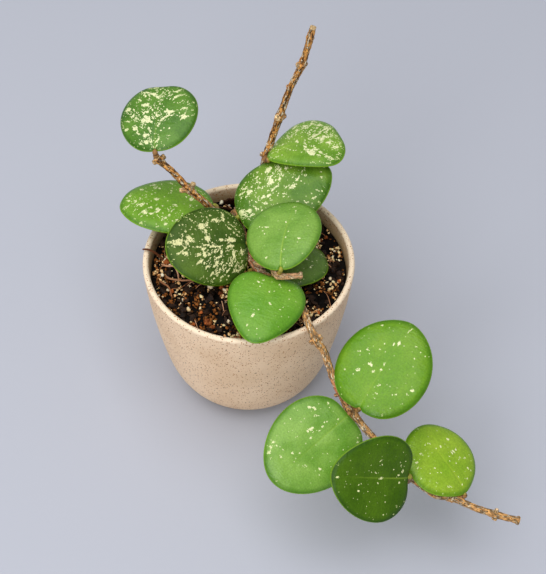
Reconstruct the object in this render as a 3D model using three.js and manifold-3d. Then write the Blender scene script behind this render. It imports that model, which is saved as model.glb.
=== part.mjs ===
// Potted hoya: a small round-leaved plant on woody stems, in a tapering stoneware pot.
// Millimetres, +Z up, the origin at the centre of the pot's flat foot, +Y towards the back of the plant.
import * as THREE from "three";
import { mergeVertices } from "three/addons/utils/BufferGeometryUtils.js";
import Module from "manifold-3d";

const wasm = await Module();
wasm.setup();

// Driving dimensions of the pot
const POT_HEIGHT = 64;
const RIM_RADIUS = 40;
const WALL = 2.3;
const LIP_RADIUS = WALL / 2;
const FOOT_RADIUS = 18.5;
const FOOT_ROUNDING = { radius: 29.2, height: 0.16 };
const BELLY = { radius: 33.4, height: 20.4 };
const WALL_BULGE = 1.5;
const POT_SEGMENTS = 48;
const WALL_STEPS = 4;
const LIP_STEPS = 6;

// Driving dimensions of the potting mix, its grains, its bark flakes and its dry root
const SOIL_HEIGHT = 58.2;
const SOIL_EDGE_DROP = 0.3;
const SOIL_RELIEF = 0.8;
const SOIL_SEGMENTS = 40;
const SOIL_RINGS = 7;
const GRAIN = {
  count: 76,
  least: 1.1,
  most: 2.3,
  bias: 1.6,
  bulk: 1.15,
  spread: 33.5,
  clearance: 3,
  sunk: 0.15,
  seed: 7,
};
const GRAIN_FLATNESS = { side: 0.7, top: 0.6, play: 0.3 };
const FLAKE = { length: 8, height: 4.2, thickness: 1.1, bend: 0.16, steps: 5 };
const ROOT = { foot: 0.6, end: 0.35, steps: 9, sides: 5 };

// Driving dimensions of the stems and leaves
const STEM_SIDES = 7;
const STEM_STEP = 3.4;
const KNOB = { sides: 5, steps: 2, blunt: 0.75 };
const BLADE = { thickness: 1.4, dome: 1.2, curl: 1.0, segments: 32, rings: 6 };
const FOLD_ROUNDING = 2;
const NOTCH_WIDTH = 0.35;
const TIP_WIDTH = 0.3;
const PETIOLE = { foot: 1.0, end: 0.8, bend: 0.6, sides: 6, steps: 4, overlap: 2 };
const GAP = 0.3;

// How far a cut's slivers may be smoothed away
const SLIVER = 0.02;

// The stems, from their buried ends to their tips
const LEFT_STEM = {
  path: [
    [-7, 15, 30],
    [-8.5, 16.5, 56],
    [-10.5, 18, 66],
    [-14.5, 18.7, 72],
    [-22.4, 20.5, 80],
    [-28.8, 24, 86],
    [-34, 26.2, 90.4],
    [-35, 26.7, 91.4],
  ],
  radius: { foot: 1.7, end: 1.4 },
  nodes: [
    { at: [-22.4, 20.5, 80], swell: 0.5, width: 2 },
    { at: [-33.9, 26.2, 90.3], swell: 0.4, width: 1.6 },
  ],
  knobs: [
    { at: [-22.2, 20.4, 80], toward: [0.35, 0.2, 1], radius: 1.15, length: 3.6 },
    { at: [-22.4, 20.5, 80], toward: [-1, -0.15, 0.1], radius: 1.0, length: 4 },
    { at: [-33.9, 26.2, 90.3], toward: [-1, -0.5, -0.2], radius: 0.8, length: 2.6 },
    { at: [-33.9, 26.2, 90.3], toward: [1, 0.5, 0.6], radius: 0.8, length: 2.8 },
  ],
};
const BACK_STEM = {
  path: [
    [-1, 18, 30],
    [1.2, 22.9, 56],
    [4.4, 32.5, 71.3],
    [6.4, 35.9, 82.4],
    [11.3, 40.3, 99.5],
    [15.1, 42.3, 112.6],
    [19.1, 44, 122.6],
    [22.8, 46.7, 138.7],
  ],
  radius: { foot: 1.6, end: 1.2 },
  nodes: [
    { at: [6.6, 36, 83.3], swell: 0.35, width: 1.8 },
    { at: [11.3, 40.3, 99.5], swell: 0.5, width: 2 },
    { at: [19.1, 44, 122.6], swell: 0.4, width: 2 },
    { at: [21.5, 45.9, 134.2], swell: 0.3, width: 1.6 },
  ],
  knobs: [
    { at: [6.4, 35.9, 82.8], toward: [-1, 0.1, 0.5], radius: 0.8, length: 2.7 },
    { at: [11.3, 40.3, 99.5], toward: [-0.5, -0.8, 0.3], radius: 1.2, length: 2.4 },
    { at: [11.3, 40.3, 99.5], toward: [1, 0.2, 0.1], radius: 0.9, length: 2.7 },
    { at: [15.3, 42.4, 113], toward: [-1, 0, 0.2], radius: 0.6, length: 1.9 },
    { at: [19.1, 44, 122.6], toward: [-1, -0.4, 0.2], radius: 0.9, length: 2.2 },
    { at: [19.1, 44, 122.6], toward: [1, 0.2, 0.2], radius: 0.8, length: 2.3 },
  ],
};
const SIDE_BRANCH = {
  path: [
    [1.5, -4.4, 66.8],
    [5, -8, 70.4],
    [8.4, -12.2, 74],
    [10.6, -17.4, 75.2],
    [15, -17.8, 75.2],
    [19.7, -17.4, 75.3],
  ],
  radius: { foot: 1.4, end: 1.3 },
  nodes: [{ at: [10.6, -17.4, 75.2], swell: 0.35, width: 1.8 }],
  knobs: [],
};
const TRAILING_STEM = {
  path: [
    [-6, 30, 32],
    [-6.2, 28.5, 56],
    [-5.4, 24.6, 62.8],
    [-3.6, 18.1, 66],
    [-1.1, 3.9, 66.5],
    [3.1, -7.4, 67.4],
    [9.4, -13.2, 67],
    [15.6, -17.8, 66.2],
    [19.9, -25.2, 65.7],
    [21.7, -31.9, 65.8],
    [24.6, -38.2, 63.5],
    [27.4, -40.8, 60.5],
    [29.6, -45, 56],
    [31, -48.2, 53],
    [33, -52.2, 50.5],
    [36.9, -57.2, 47.5],
    [40.9, -61.9, 45],
    [44.6, -66.1, 43.5],
    [51.4, -72.8, 40],
    [58.9, -79.5, 36.5],
    [67.9, -84.9, 33],
    [74, -84.8, 31],
    [81.3, -88, 30],
    [89.3, -90.5, 29],
    [98, -92.6, 28],
  ],
  radius: { foot: 1.5, end: 1.2 },
  nodes: [
    { at: [-3.6, 18.1, 66], swell: 0.35, width: 2 },
    { at: [-1.1, 3.9, 66.5], swell: 0.35, width: 2 },
    { at: [24.6, -38.2, 63.5], swell: 0.55, width: 2.4 },
    { at: [33, -52.2, 50.5], swell: -0.3, width: 5 },
    { at: [37.2, -57.6, 47.3], swell: 0.95, width: 3 },
    { at: [58.9, -79.5, 36.5], swell: 0.4, width: 2 },
    { at: [74, -84.8, 31], swell: 0.4, width: 2 },
    { at: [89.3, -90.5, 29], swell: 0.35, width: 1.8 },
    { at: [97.4, -92.5, 28.1], swell: 0.3, width: 1.2 },
  ],
  knobs: [
    { at: [24.6, -38.2, 63.5], toward: [-0.9, -0.5, 0], radius: 0.9, length: 3.1 },
    { at: [24.6, -38.2, 63.5], toward: [0.9, 0.5, 0.4], radius: 0.9, length: 2.6 },
    { at: [33.2, -52.8, 50.2], toward: [-1, -0.4, 0], radius: 0.6, length: 2 },
    { at: [89.3, -90.5, 29], toward: [0.1, 0.3, 1], radius: 0.8, length: 2.3 },
    { at: [89.3, -90.5, 29], toward: [-0.2, -0.6, -1], radius: 0.8, length: 2.2 },
  ],
  branch: SIDE_BRANCH,
};

// The leaves: where each petiole leaves its stem, and where its blade starts, which way it points and
// how far it tilts and rolls, in degrees, with the blade's length and width, the share by which it
// narrows towards the tip, the depth of the notch at its base and the length of its drawn-out tip
const LEAVES = [
  {
    name: "leaf_left_high",
    node: [-34.7, 26.5, 91],
    base: [-35.5, 26, 94.5],
    heading: 86,
    pitch: 12,
    roll: -13,
    length: 31,
    width: 30.5,
    narrowing: -0.09,
    notch: 0.6,
    tip: -1.3,
  },
  {
    name: "leaf_left_low",
    node: [-12, 18.3, 69.5],
    base: [-13.5, 24, 68.5],
    heading: 187,
    pitch: 5,
    roll: 5,
    length: 35.5,
    width: 30,
    narrowing: 0.05,
    notch: 0.1,
    tip: 0.7,
  },
  {
    name: "leaf_left_front",
    node: [-1.1, 3.9, 66.5],
    base: [0.5, 3, 70],
    heading: 196,
    pitch: 10,
    roll: -27,
    length: 33,
    width: 30.5,
    narrowing: 0.12,
    notch: 1.5,
    tip: -0.1,
  },
  {
    name: "leaf_back_broad",
    node: [-3.6, 18.1, 66],
    base: [-4.5, 13.5, 73],
    heading: 19,
    pitch: 20,
    roll: 12,
    length: 39,
    width: 31,
    narrowing: 0.18,
    notch: 0.4,
    tip: 0.5,
  },
  {
    name: "leaf_back_high",
    node: [6.5, 35.9, 82.8],
    base: [7.1, 31.8, 86.1],
    heading: 19,
    pitch: 7,
    roll: -11,
    length: 29.7,
    width: 28.7,
    narrowing: -0.46,
    notch: -0.3,
    tip: -0.8,
  },
  {
    name: "leaf_centre",
    node: [10.6, -17.4, 75.2],
    base: [11.5, -18, 79],
    heading: 86,
    pitch: 6,
    roll: -15,
    length: 31,
    width: 28.5,
    narrowing: -0.12,
    notch: 0.1,
    tip: 0.1,
  },
  {
    name: "leaf_front",
    node: [10.2, -16.4, 75.1],
    base: [9.5, -12.5, 72],
    heading: 256,
    pitch: -5,
    roll: -5,
    length: 32.5,
    width: 27.5,
    narrowing: 0.32,
    notch: 2.7,
    tip: -0.1,
  },
  {
    name: "leaf_low_right",
    node: [3.1, -7.4, 67.4],
    base: [2, -4.6, 64.2],
    heading: 15,
    pitch: -5,
    roll: -8,
    length: 29,
    width: 26,
    narrowing: 0,
    notch: -1,
    tip: -0.5,
  },
  {
    name: "leaf_trail_upper",
    node: [38.2, -56.8, 48.4],
    base: [39, -62, 51.5],
    heading: 55,
    pitch: 23,
    roll: 2,
    length: 38.5,
    width: 35,
    narrowing: 0.05,
    notch: 1.3,
    tip: 0.4,
  },
  {
    name: "leaf_trail_lower",
    node: [36.4, -57.8, 46.8],
    base: [37.5, -60, 49.5],
    heading: 218,
    pitch: -18,
    roll: -30,
    length: 38.5,
    width: 33,
    narrowing: 0.11,
    notch: 1.6,
    tip: 0,
  },
  {
    name: "leaf_trail_folded",
    node: [57.6, -81, 36.6],
    base: [58.6, -84.1, 43.2],
    heading: 193,
    pitch: 21,
    roll: -52,
    length: 32.5,
    width: 31.5,
    narrowing: 0.12,
    notch: 1.5,
    tip: 0,
    fold: 0.32,
  },
  {
    name: "leaf_trail_end",
    node: [74, -84.8, 31],
    base: [78.1, -82.8, 32.8],
    heading: 128,
    pitch: 18,
    roll: 9,
    length: 28.5,
    width: 28.5,
    narrowing: 0.05,
    notch: -1.1,
    tip: 0,
  },
];

// Curled flakes of bark that stand in the soil at the back, and the route of the dry root over the rim
const FLAKES = [
  { at: [-12, 29.5, 59.2], turn: 25, lean: 25 },
  { at: [-0.5, 31.5, 59.4], turn: -5, lean: -20 },
  { at: [-16.5, 24, 58.8], turn: 60, lean: 35 },
];
const ROOT_PATH = [
  [-30.5, 3, 56],
  [-33, 3.4, 60],
  [-36, 3.6, 63.6],
  [-38.4, 3.7, 65],
  [-40.2, 3.8, 64.9],
];

// Finishes
const POT_FINISH = { color: 0xdcc6aa, roughness: 0.62, metalness: 0 };
const SOIL_FINISH = { color: 0x2c1e15, roughness: 0.95, metalness: 0 };
const BARK_FINISH = { color: 0x9a7048, roughness: 0.85, metalness: 0 };
const LEAF_FINISH = { color: 0x4f8f36, roughness: 0.42, metalness: 0 };

const point = ([x, y, z]) => new THREE.Vector3(x, y, z);

// The same draw of numbers on every run, for the places and sizes of the grains
function seededRandom(seed) {
  let state = seed;
  return () => {
    state = (state + 0x6d2b79f5) | 0;
    let mixed = Math.imul(state ^ (state >>> 15), 1 | state);
    mixed = (mixed + Math.imul(mixed ^ (mixed >>> 7), 61 | mixed)) ^ mixed;
    return ((mixed ^ (mixed >>> 14)) >>> 0) / 4294967296;
  };
}

// A closed geometry as a solid that can be joined and cut
function solidOf(geometry) {
  const bare = geometry.clone();
  bare.deleteAttribute("normal");
  bare.deleteAttribute("uv");
  const merged = mergeVertices(bare, 1e-4);
  return new wasm.Manifold(
    new wasm.Mesh({
      numProp: 3,
      vertProperties: new Float32Array(merged.attributes.position.array),
      triVerts: new Uint32Array(merged.index.array),
    }),
  );
}

// A solid as a mesh with a name and a finish of its own
function meshOf(name, solid, finish) {
  const shape = solid.simplify(SLIVER).getMesh();
  const geometry = new THREE.BufferGeometry();
  geometry.setAttribute("position", new THREE.BufferAttribute(shape.vertProperties, 3));
  geometry.setIndex(new THREE.BufferAttribute(shape.triVerts, 1));
  geometry.computeVertexNormals();
  const mesh = new THREE.Mesh(geometry, new THREE.MeshStandardMaterial(finish));
  mesh.name = name;
  return mesh;
}

// The largest of a solid's separate bodies, without the scraps that a cut leaves
function largestBody(solid) {
  const larger = (best, body) => (body.volume() > best.volume() ? body : best);
  return solid.decompose().reduce(larger);
}

// Moves each vertex of a geometry to where place(x, y, z) puts it
function reshape(geometry, place) {
  const position = geometry.attributes.position;
  for (let i = 0; i < position.count; i += 1) {
    const moved = place(position.getX(i), position.getY(i), position.getZ(i));
    position.setXYZ(i, moved.x, moved.y, moved.z);
  }
  return geometry;
}

// A closed tube along a curve, with its radius given along the way and round it, and its ends pushed out
function tubeAlong(curve, steps, sides, radiusAt, longer = 0) {
  const frames = curve.computeFrenetFrames(steps, false);
  const centres = curve.getSpacedPoints(steps);
  const length = curve.getLength();
  return reshape(new THREE.CylinderGeometry(1, 1, 1, sides, steps), (x, y, z) => {
    const index = Math.round((y + 0.5) * steps);
    const along = (length * index) / steps;
    const radius = radiusAt(index / steps, centres[index], Math.atan2(z, x), along);
    const outward = index === 0 ? -longer : index === steps ? longer : 0;
    return centres[index]
      .clone()
      .addScaledVector(frames.tangents[index], outward)
      .addScaledVector(frames.normals[index], radius * x)
      .addScaledVector(frames.binormals[index], -radius * z);
  });
}

// A short blunt knob, such as a bud, a leaf scar or the stub of a lost twig
function knobSolid(spec, grow) {
  const start = point(spec.at);
  const reach = point(spec.toward).setLength(spec.length + grow);
  const curve = new THREE.LineCurve3(start, start.clone().add(reach));
  const radiusAt = (share) => (spec.radius + grow) * (share === 1 ? KNOB.blunt : 1);
  return solidOf(tubeAlong(curve, KNOB.steps, KNOB.sides, radiusAt));
}

// The uneven skin of bark, as a share of the stem's radius
const barkWave = (angle, along) => 0.05 * Math.sin(3 * angle + 0.8 * along) * Math.sin(1.9 * along);

// A woody stem with its nodes, grown by a margin on all sides where it is used to cut a hole
function stemSolid(spec, grow = 0) {
  const curve = new THREE.CatmullRomCurve3(spec.path.map(point), false, "centripetal");
  curve.arcLengthDivisions = 400;
  const steps = Math.round(curve.getLength() / STEM_STEP);
  const radiusAt = (share, centre, angle, along) => {
    const taper = THREE.MathUtils.lerp(spec.radius.foot, spec.radius.end, share);
    const swelling = spec.nodes.reduce((sum, node) => {
      const away = centre.distanceTo(point(node.at)) / node.width;
      return sum + node.swell * Math.exp(-away * away);
    }, 0);
    return (taper + swelling) * (1 + barkWave(angle, along)) + grow;
  };
  const pieces = spec.knobs.map((each) => knobSolid(each, grow));
  if (spec.branch) pieces.push(stemSolid(spec.branch, grow));
  const shaft = solidOf(tubeAlong(curve, steps, STEM_SIDES, radiusAt, grow));
  return pieces.reduce((whole, piece) => whole.add(piece), shaft);
}

// The wall's outline from the axis out and up to a height, set in from the pot's outer skin
function wallOutline(inset, height) {
  const bowl = new THREE.QuadraticBezierCurve(
    new THREE.Vector2(FOOT_RADIUS - inset, inset),
    new THREE.Vector2(FOOT_ROUNDING.radius - inset, FOOT_ROUNDING.height + inset),
    new THREE.Vector2(BELLY.radius - inset, BELLY.height),
  );
  const rise = POT_HEIGHT - LIP_RADIUS - BELLY.height;
  const share = (height - BELLY.height) / rise;
  const wall = Array.from({ length: WALL_STEPS }, (_, i) => {
    const t = (share * (i + 1)) / WALL_STEPS;
    const radius = THREE.MathUtils.lerp(BELLY.radius, RIM_RADIUS, t) + 2 * t * (1 - t) * WALL_BULGE;
    return new THREE.Vector2(radius - inset, BELLY.height + t * rise);
  });
  return [new THREE.Vector2(0, inset), ...bowl.getPoints(WALL_STEPS), ...wall];
}

const latheAboutZ = (outline, segments) =>
  new THREE.LatheGeometry(outline, segments).rotateX(Math.PI / 2);

function potSolid() {
  const lipHeight = POT_HEIGHT - LIP_RADIUS;
  const lipCentre = RIM_RADIUS - LIP_RADIUS;
  const lip = new THREE.EllipseCurve(lipCentre, lipHeight, LIP_RADIUS, LIP_RADIUS, 0, Math.PI);
  const outline = [
    ...wallOutline(0, lipHeight),
    ...lip.getPoints(LIP_STEPS).slice(1, -1),
    ...wallOutline(WALL, lipHeight).reverse(),
  ];
  return solidOf(latheAboutZ(outline, POT_SEGMENTS));
}

// How far the top of the soil rises or falls at a place, dying out towards the wall
function soilRelief(x, y) {
  const fade = 1 - Math.pow(Math.min(Math.hypot(x, y) / (RIM_RADIUS - WALL), 1), 4);
  const waves = Math.sin(0.42 * x + 1.3) * Math.cos(0.37 * y) + 0.6 * Math.sin(0.8 * x - 0.7 * y);
  return SOIL_RELIEF * fade * waves;
}

function soilBody() {
  const outline = wallOutline(WALL + GAP, SOIL_HEIGHT - SOIL_EDGE_DROP);
  const edge = outline[outline.length - 1].x;
  for (let ring = SOIL_RINGS - 1; ring >= 0; ring -= 1)
    outline.push(new THREE.Vector2((edge * ring) / SOIL_RINGS, SOIL_HEIGHT));
  const geometry = latheAboutZ(outline, SOIL_SEGMENTS);
  const lift = (x, y, z) => (z > SOIL_HEIGHT - SOIL_EDGE_DROP / 2 ? soilRelief(x, y) : 0);
  return solidOf(reshape(geometry, (x, y, z) => new THREE.Vector3(x, y, z + lift(x, y, z))));
}

// Angular grains of bark and pumice, half sunk, clear of each other and of what stands in the soil
function grainSolids(standing) {
  const random = seededRandom(GRAIN.seed);
  const taken = standing.map(([x, y]) => ({ x, y, radius: GRAIN.clearance }));
  const grains = [];
  while (grains.length < GRAIN.count) {
    const reach = GRAIN.spread * Math.sqrt(random());
    const angle = 2 * Math.PI * random();
    const [x, y] = [reach * Math.cos(angle), reach * Math.sin(angle)];
    const radius = THREE.MathUtils.lerp(GRAIN.least, GRAIN.most, random() ** GRAIN.bias);
    const turn = new THREE.Euler(6 * random(), 6 * random(), 6 * random());
    const side = GRAIN_FLATNESS.side + GRAIN_FLATNESS.play * random();
    const top = GRAIN_FLATNESS.top + GRAIN_FLATNESS.play * random();
    if (taken.some((other) => Math.hypot(x - other.x, y - other.y) < radius + other.radius)) continue;
    taken.push({ x, y, radius });
    const geometry = new THREE.OctahedronGeometry(GRAIN.bulk * radius, 0);
    geometry.scale(1, side, top).rotateX(turn.x).rotateY(turn.y).rotateZ(turn.z);
    geometry.translate(x, y, SOIL_HEIGHT + soilRelief(x, y) - GRAIN.sunk * radius);
    grains.push(solidOf(geometry));
  }
  return grains;
}

// A curled flake of bark, standing on its edge
function flakeSolid({ at, turn, lean }) {
  const geometry = new THREE.BoxGeometry(FLAKE.length, FLAKE.thickness, FLAKE.height, FLAKE.steps, 1, 1);
  reshape(geometry, (x, y, z) => new THREE.Vector3(x, y - FLAKE.bend * x * x * (0.6 + 0.1 * z), z));
  geometry.rotateX(THREE.MathUtils.degToRad(lean)).rotateZ(THREE.MathUtils.degToRad(turn));
  geometry.translate(...at);
  return solidOf(geometry);
}

function rootSolid() {
  const curve = new THREE.CatmullRomCurve3(ROOT_PATH.map(point));
  const radiusAt = (share) => THREE.MathUtils.lerp(ROOT.foot, ROOT.end, share);
  return solidOf(tubeAlong(curve, ROOT.steps, ROOT.sides, radiusAt));
}

// The potting mix: one body with its grains, flakes and root fused in, and a plain hole for each stem
function soilSolid(stems) {
  const standing = [...stems.map((stem) => stem.path[1]), ...FLAKES.map((flake) => flake.at), ROOT_PATH[0]];
  const pieces = [...grainSolids(standing), ...FLAKES.map(flakeSolid), rootSolid()];
  const whole = pieces.reduce((soil, piece) => soil.add(piece), soilBody());
  return largestBody(stems.reduce((soil, stem) => soil.subtract(stemSolid(stem, GAP)), whole));
}

// The directions along a leaf's midrib, to its left and out of its upper face
function leafAxes({ heading, pitch, roll }) {
  const [turn, climb, lean] = [heading, pitch, roll].map(THREE.MathUtils.degToRad);
  const along = new THREE.Vector3(
    Math.cos(climb) * Math.cos(turn),
    Math.cos(climb) * Math.sin(turn),
    Math.sin(climb),
  );
  const left = new THREE.Vector3(-Math.sin(turn), Math.cos(turn), 0).applyAxisAngle(along, lean);
  return { along, left, out: new THREE.Vector3().crossVectors(along, left) };
}

// A point of the blade's middle surface, at an angle from the tip and a share of the way to the edge
function bladePoint(leaf, angle, share, lift) {
  const { along, left, out } = leafAxes(leaf);
  const fromBase = Math.PI - Math.abs(angle);
  const notch = leaf.notch * Math.exp(-((fromBase / NOTCH_WIDTH) ** 2));
  const tip = leaf.tip * Math.exp(-((angle / TIP_WIDTH) ** 2));
  const u = (leaf.length / 2) * (1 + share * Math.cos(angle)) + share ** 3 * (notch + tip);
  const v = (leaf.width / 2) * share * Math.sin(angle) * (1 - leaf.narrowing * Math.cos(angle));
  const fold = (leaf.fold ?? 0) * (Math.hypot(v, FOLD_ROUNDING) - FOLD_ROUNDING);
  const dome = BLADE.dome * (v / (leaf.width / 2)) ** 2;
  const curl = BLADE.curl * ((u - leaf.length / 2) / (leaf.length / 2)) ** 2 - BLADE.curl;
  return point(leaf.base)
    .addScaledVector(along, u)
    .addScaledVector(left, v)
    .addScaledVector(out, fold - dome - curl + lift);
}

// A thick rounded blade with its notched base and drawn-out tip
function bladeSolid(leaf) {
  const ball = new THREE.SphereGeometry(1, BLADE.segments, BLADE.rings);
  return solidOf(
    reshape(ball, (x, y, z) => {
      const share = Math.min(Math.hypot(x, z), 1);
      const fullness = Math.sqrt(Math.max(1 - share ** 6, 0));
      const lift = (Math.sign(y) * fullness * BLADE.thickness) / 2;
      return bladePoint(leaf, Math.atan2(-z, x), share, Math.abs(y) < 1e-6 ? 0 : lift);
    }),
  );
}

// The short stalk from the stem's node to a little way inside the blade's base
function petioleSolid(leaf) {
  const { along } = leafAxes(leaf);
  const notch = bladePoint(leaf, Math.PI, 1, 0);
  const inside = notch.clone().addScaledVector(along, PETIOLE.overlap);
  const bend = notch.clone().addScaledVector(along, -PETIOLE.bend);
  const curve = new THREE.CatmullRomCurve3([point(leaf.node), bend, notch, inside]);
  const radiusAt = (share) => THREE.MathUtils.lerp(PETIOLE.foot, PETIOLE.end, share);
  return solidOf(tubeAlong(curve, PETIOLE.steps, PETIOLE.sides, radiusAt));
}

// A leaf with its stalk, cut back to leave a small gap to every stem
function leafSolid(leaf, stems) {
  const whole = bladeSolid(leaf).add(petioleSolid(leaf));
  return largestBody(stems.reduce((solid, stem) => solid.subtract(stemSolid(stem, GAP)), whole));
}

const stems = [LEFT_STEM, BACK_STEM, TRAILING_STEM];
const plant = new THREE.Group();
plant.add(meshOf("pot", potSolid(), POT_FINISH));
plant.add(meshOf("soil", soilSolid(stems), SOIL_FINISH));
plant.add(meshOf("left_stem", stemSolid(LEFT_STEM), BARK_FINISH));
plant.add(meshOf("back_stem", stemSolid(BACK_STEM), BARK_FINISH));
plant.add(meshOf("trailing_stem", stemSolid(TRAILING_STEM), BARK_FINISH));
for (const leaf of LEAVES) plant.add(meshOf(leaf.name, leafSolid(leaf, stems), LEAF_FINISH));

export default plant;
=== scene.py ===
"""Potted hoya: round splashed leaves on bare woody stems, in a tapering stoneware pot.

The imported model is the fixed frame. Sizes are in millimetres, as in the part's source, and become
metres where a mesh is made. Each node is replaced by a finer piece of the same form.
"""

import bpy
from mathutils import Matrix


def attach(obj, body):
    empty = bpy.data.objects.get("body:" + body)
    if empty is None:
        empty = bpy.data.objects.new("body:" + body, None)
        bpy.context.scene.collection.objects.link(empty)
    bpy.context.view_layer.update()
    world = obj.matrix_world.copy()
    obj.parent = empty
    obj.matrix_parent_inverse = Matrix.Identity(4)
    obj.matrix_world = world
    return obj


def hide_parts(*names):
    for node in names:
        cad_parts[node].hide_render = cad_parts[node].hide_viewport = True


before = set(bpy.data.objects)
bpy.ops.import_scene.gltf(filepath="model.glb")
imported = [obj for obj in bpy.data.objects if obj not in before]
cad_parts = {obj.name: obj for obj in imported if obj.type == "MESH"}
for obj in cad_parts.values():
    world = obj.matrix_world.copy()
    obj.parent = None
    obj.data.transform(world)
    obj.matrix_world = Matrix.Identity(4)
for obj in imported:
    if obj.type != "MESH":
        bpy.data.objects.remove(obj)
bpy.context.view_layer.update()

import logging
import math
from dataclasses import dataclass
from enum import Enum

import bpy
import numpy as np
from mathutils import Matrix, Quaternion, Vector, noise

MM = 0.001
SEAM_WIDTH = 0.004
log = logging.getLogger("hoya")

Colour = tuple[float, float, float]
Point = tuple[float, float, float]
Mark = tuple[float, ...]
Patch = tuple[float, float, float, float]
Piece = bpy.types.Object
Material = bpy.types.Material
Node = bpy.types.Node
Socket = bpy.types.NodeSocket
Tree = bpy.types.NodeTree


def tone(red: int, green: int, blue: int) -> Colour:
    """Gives the linear colour of a tone that is stated as it looks on a screen, from 0 to 255."""
    return tuple(((c / 255 + 0.055) / 1.055) ** 2.4 if c > 10 else c / 3295 for c in (red, green, blue))


# Meshes


def rest_selection() -> None:
    """Goes back to object mode with nothing selected."""
    if bpy.context.mode != "OBJECT":
        bpy.ops.object.mode_set(mode="OBJECT")
    bpy.ops.object.select_all(action="DESELECT")


def take(piece: Piece) -> None:
    """Makes one object the only selected and the active one."""
    rest_selection()
    piece.select_set(True)
    bpy.context.view_layer.objects.active = piece


def named(name: str) -> Piece:
    """Gives the object that an operator has just made its name."""
    piece = bpy.context.active_object
    piece.name = name
    piece.data.name = name
    return piece


def points_of(piece: Piece) -> np.ndarray:
    """Gives the places of a mesh's vertices, one row each, in the object's own units."""
    flat = np.empty(len(piece.data.vertices) * 3)
    piece.data.vertices.foreach_get("co", flat)
    return flat.reshape(-1, 3)


def place(piece: Piece, points: np.ndarray) -> None:
    """Moves a mesh's vertices.

    Args:
        piece: the mesh object.
        points: the new places in millimetres, one row for each vertex.
    """
    piece.data.vertices.foreach_set("co", (points * MM).astype(np.float32).ravel())
    piece.data.update()


def paint(piece: Piece, name: str, values: np.ndarray) -> None:
    """Stores a number or a vector with each vertex, for the materials to read.

    Args:
        piece: the mesh object.
        name: the attribute's name.
        values: one number, or one row of three, for each vertex.
    """
    vector = values.ndim == 2
    kind = "FLOAT_VECTOR" if vector else "FLOAT"
    attribute = piece.data.attributes.new(name, kind, "POINT")
    attribute.data.foreach_set("vector" if vector else "value", values.astype(np.float32).ravel())


def add_grid(name: str, columns: int, rows: int, size: float = 2.0) -> Piece:
    """Adds a flat grid, to be shaped.

    Args:
        name: the new object's name.
        columns: how many cells it has along X.
        rows: how many cells it has along Y.
        size: the length of its sides.

    Returns:
        The mesh object.
    """
    rest_selection()
    bpy.ops.mesh.primitive_grid_add(x_subdivisions=columns, y_subdivisions=rows, size=size)
    return named(name)


def add_two_skins(name: str, cells: int) -> tuple[Piece, np.ndarray, np.ndarray]:
    """Adds a grid and its turned copy below it, to be shaped so that their edges meet.

    Args:
        name: the new object's name.
        cells: how many cells each skin has to a side.

    Returns:
        The mesh object, its vertices, from -1 to 1 along X and Y, and which of them are the copy's.
    """
    piece = add_grid(name, cells, cells)
    bpy.ops.object.mode_set(mode="EDIT")
    bpy.ops.mesh.select_all(action="SELECT")
    bpy.ops.mesh.duplicate_move(TRANSFORM_OT_translate={"value": (0, 0, -1)})
    bpy.ops.mesh.flip_normals()
    bpy.ops.object.mode_set(mode="OBJECT")
    square = points_of(piece)
    return piece, square, square[:, 2] < -0.5


def dress(piece: Piece, material: Material) -> None:
    """Gives a piece one material in place of any that it has."""
    piece.data.materials.clear()
    piece.data.materials.append(material)


def close_seams(piece: Piece) -> None:
    """Joins vertices that lie in the same place and turns the faces outwards."""
    take(piece)
    bpy.ops.object.mode_set(mode="EDIT")
    bpy.ops.mesh.select_all(action="SELECT")
    bpy.ops.mesh.remove_doubles(threshold=SEAM_WIDTH * MM)
    bpy.ops.mesh.normals_make_consistent(inside=False)
    bpy.ops.object.mode_set(mode="OBJECT")
    bpy.ops.object.shade_smooth()


def join(pieces: list[Piece], name: str) -> Piece:
    """Joins mesh objects into one.

    Args:
        pieces: the objects, of which the first takes in the others.
        name: the name of the whole.

    Returns:
        The joined object.
    """
    take(pieces[0])
    for piece in pieces[1:]:
        piece.select_set(True)
    bpy.ops.object.join()
    return named(name)


def finish_piece(piece: Piece, node: str) -> None:
    """Puts a finished piece on the body, in place of its node.

    Args:
        piece: the finished mesh object.
        node: the CAD node that it stands for.
    """
    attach(piece, "root")
    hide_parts(node)
    triangles = sum(len(face.vertices) - 2 for face in piece.data.polygons)
    log.info("%s for node %s: %d triangles", piece.name, node, triangles)


def roughness_at(points: np.ndarray, size: float, seed: float, octaves: int = 3) -> np.ndarray:
    """Gives smooth random heights from about -1 to 1.

    Args:
        points: where to read them, one row each, in millimetres.
        size: the width of the largest lumps, in millimetres.
        seed: shifts the pattern.
        octaves: how many finer layers are added.

    Returns:
        One height for each point.
    """
    shift = Vector((seed, 0.7 * seed, -1.3 * seed))
    return np.array([noise.fractal(Vector(p) / size + shift, 1.0, 2.0, octaves) for p in points])


def bump_at(distance: np.ndarray, width: float) -> np.ndarray:
    """Gives a bell-shaped height that is 1 at distance 0."""
    return np.exp(-((distance / width) ** 2))


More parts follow.
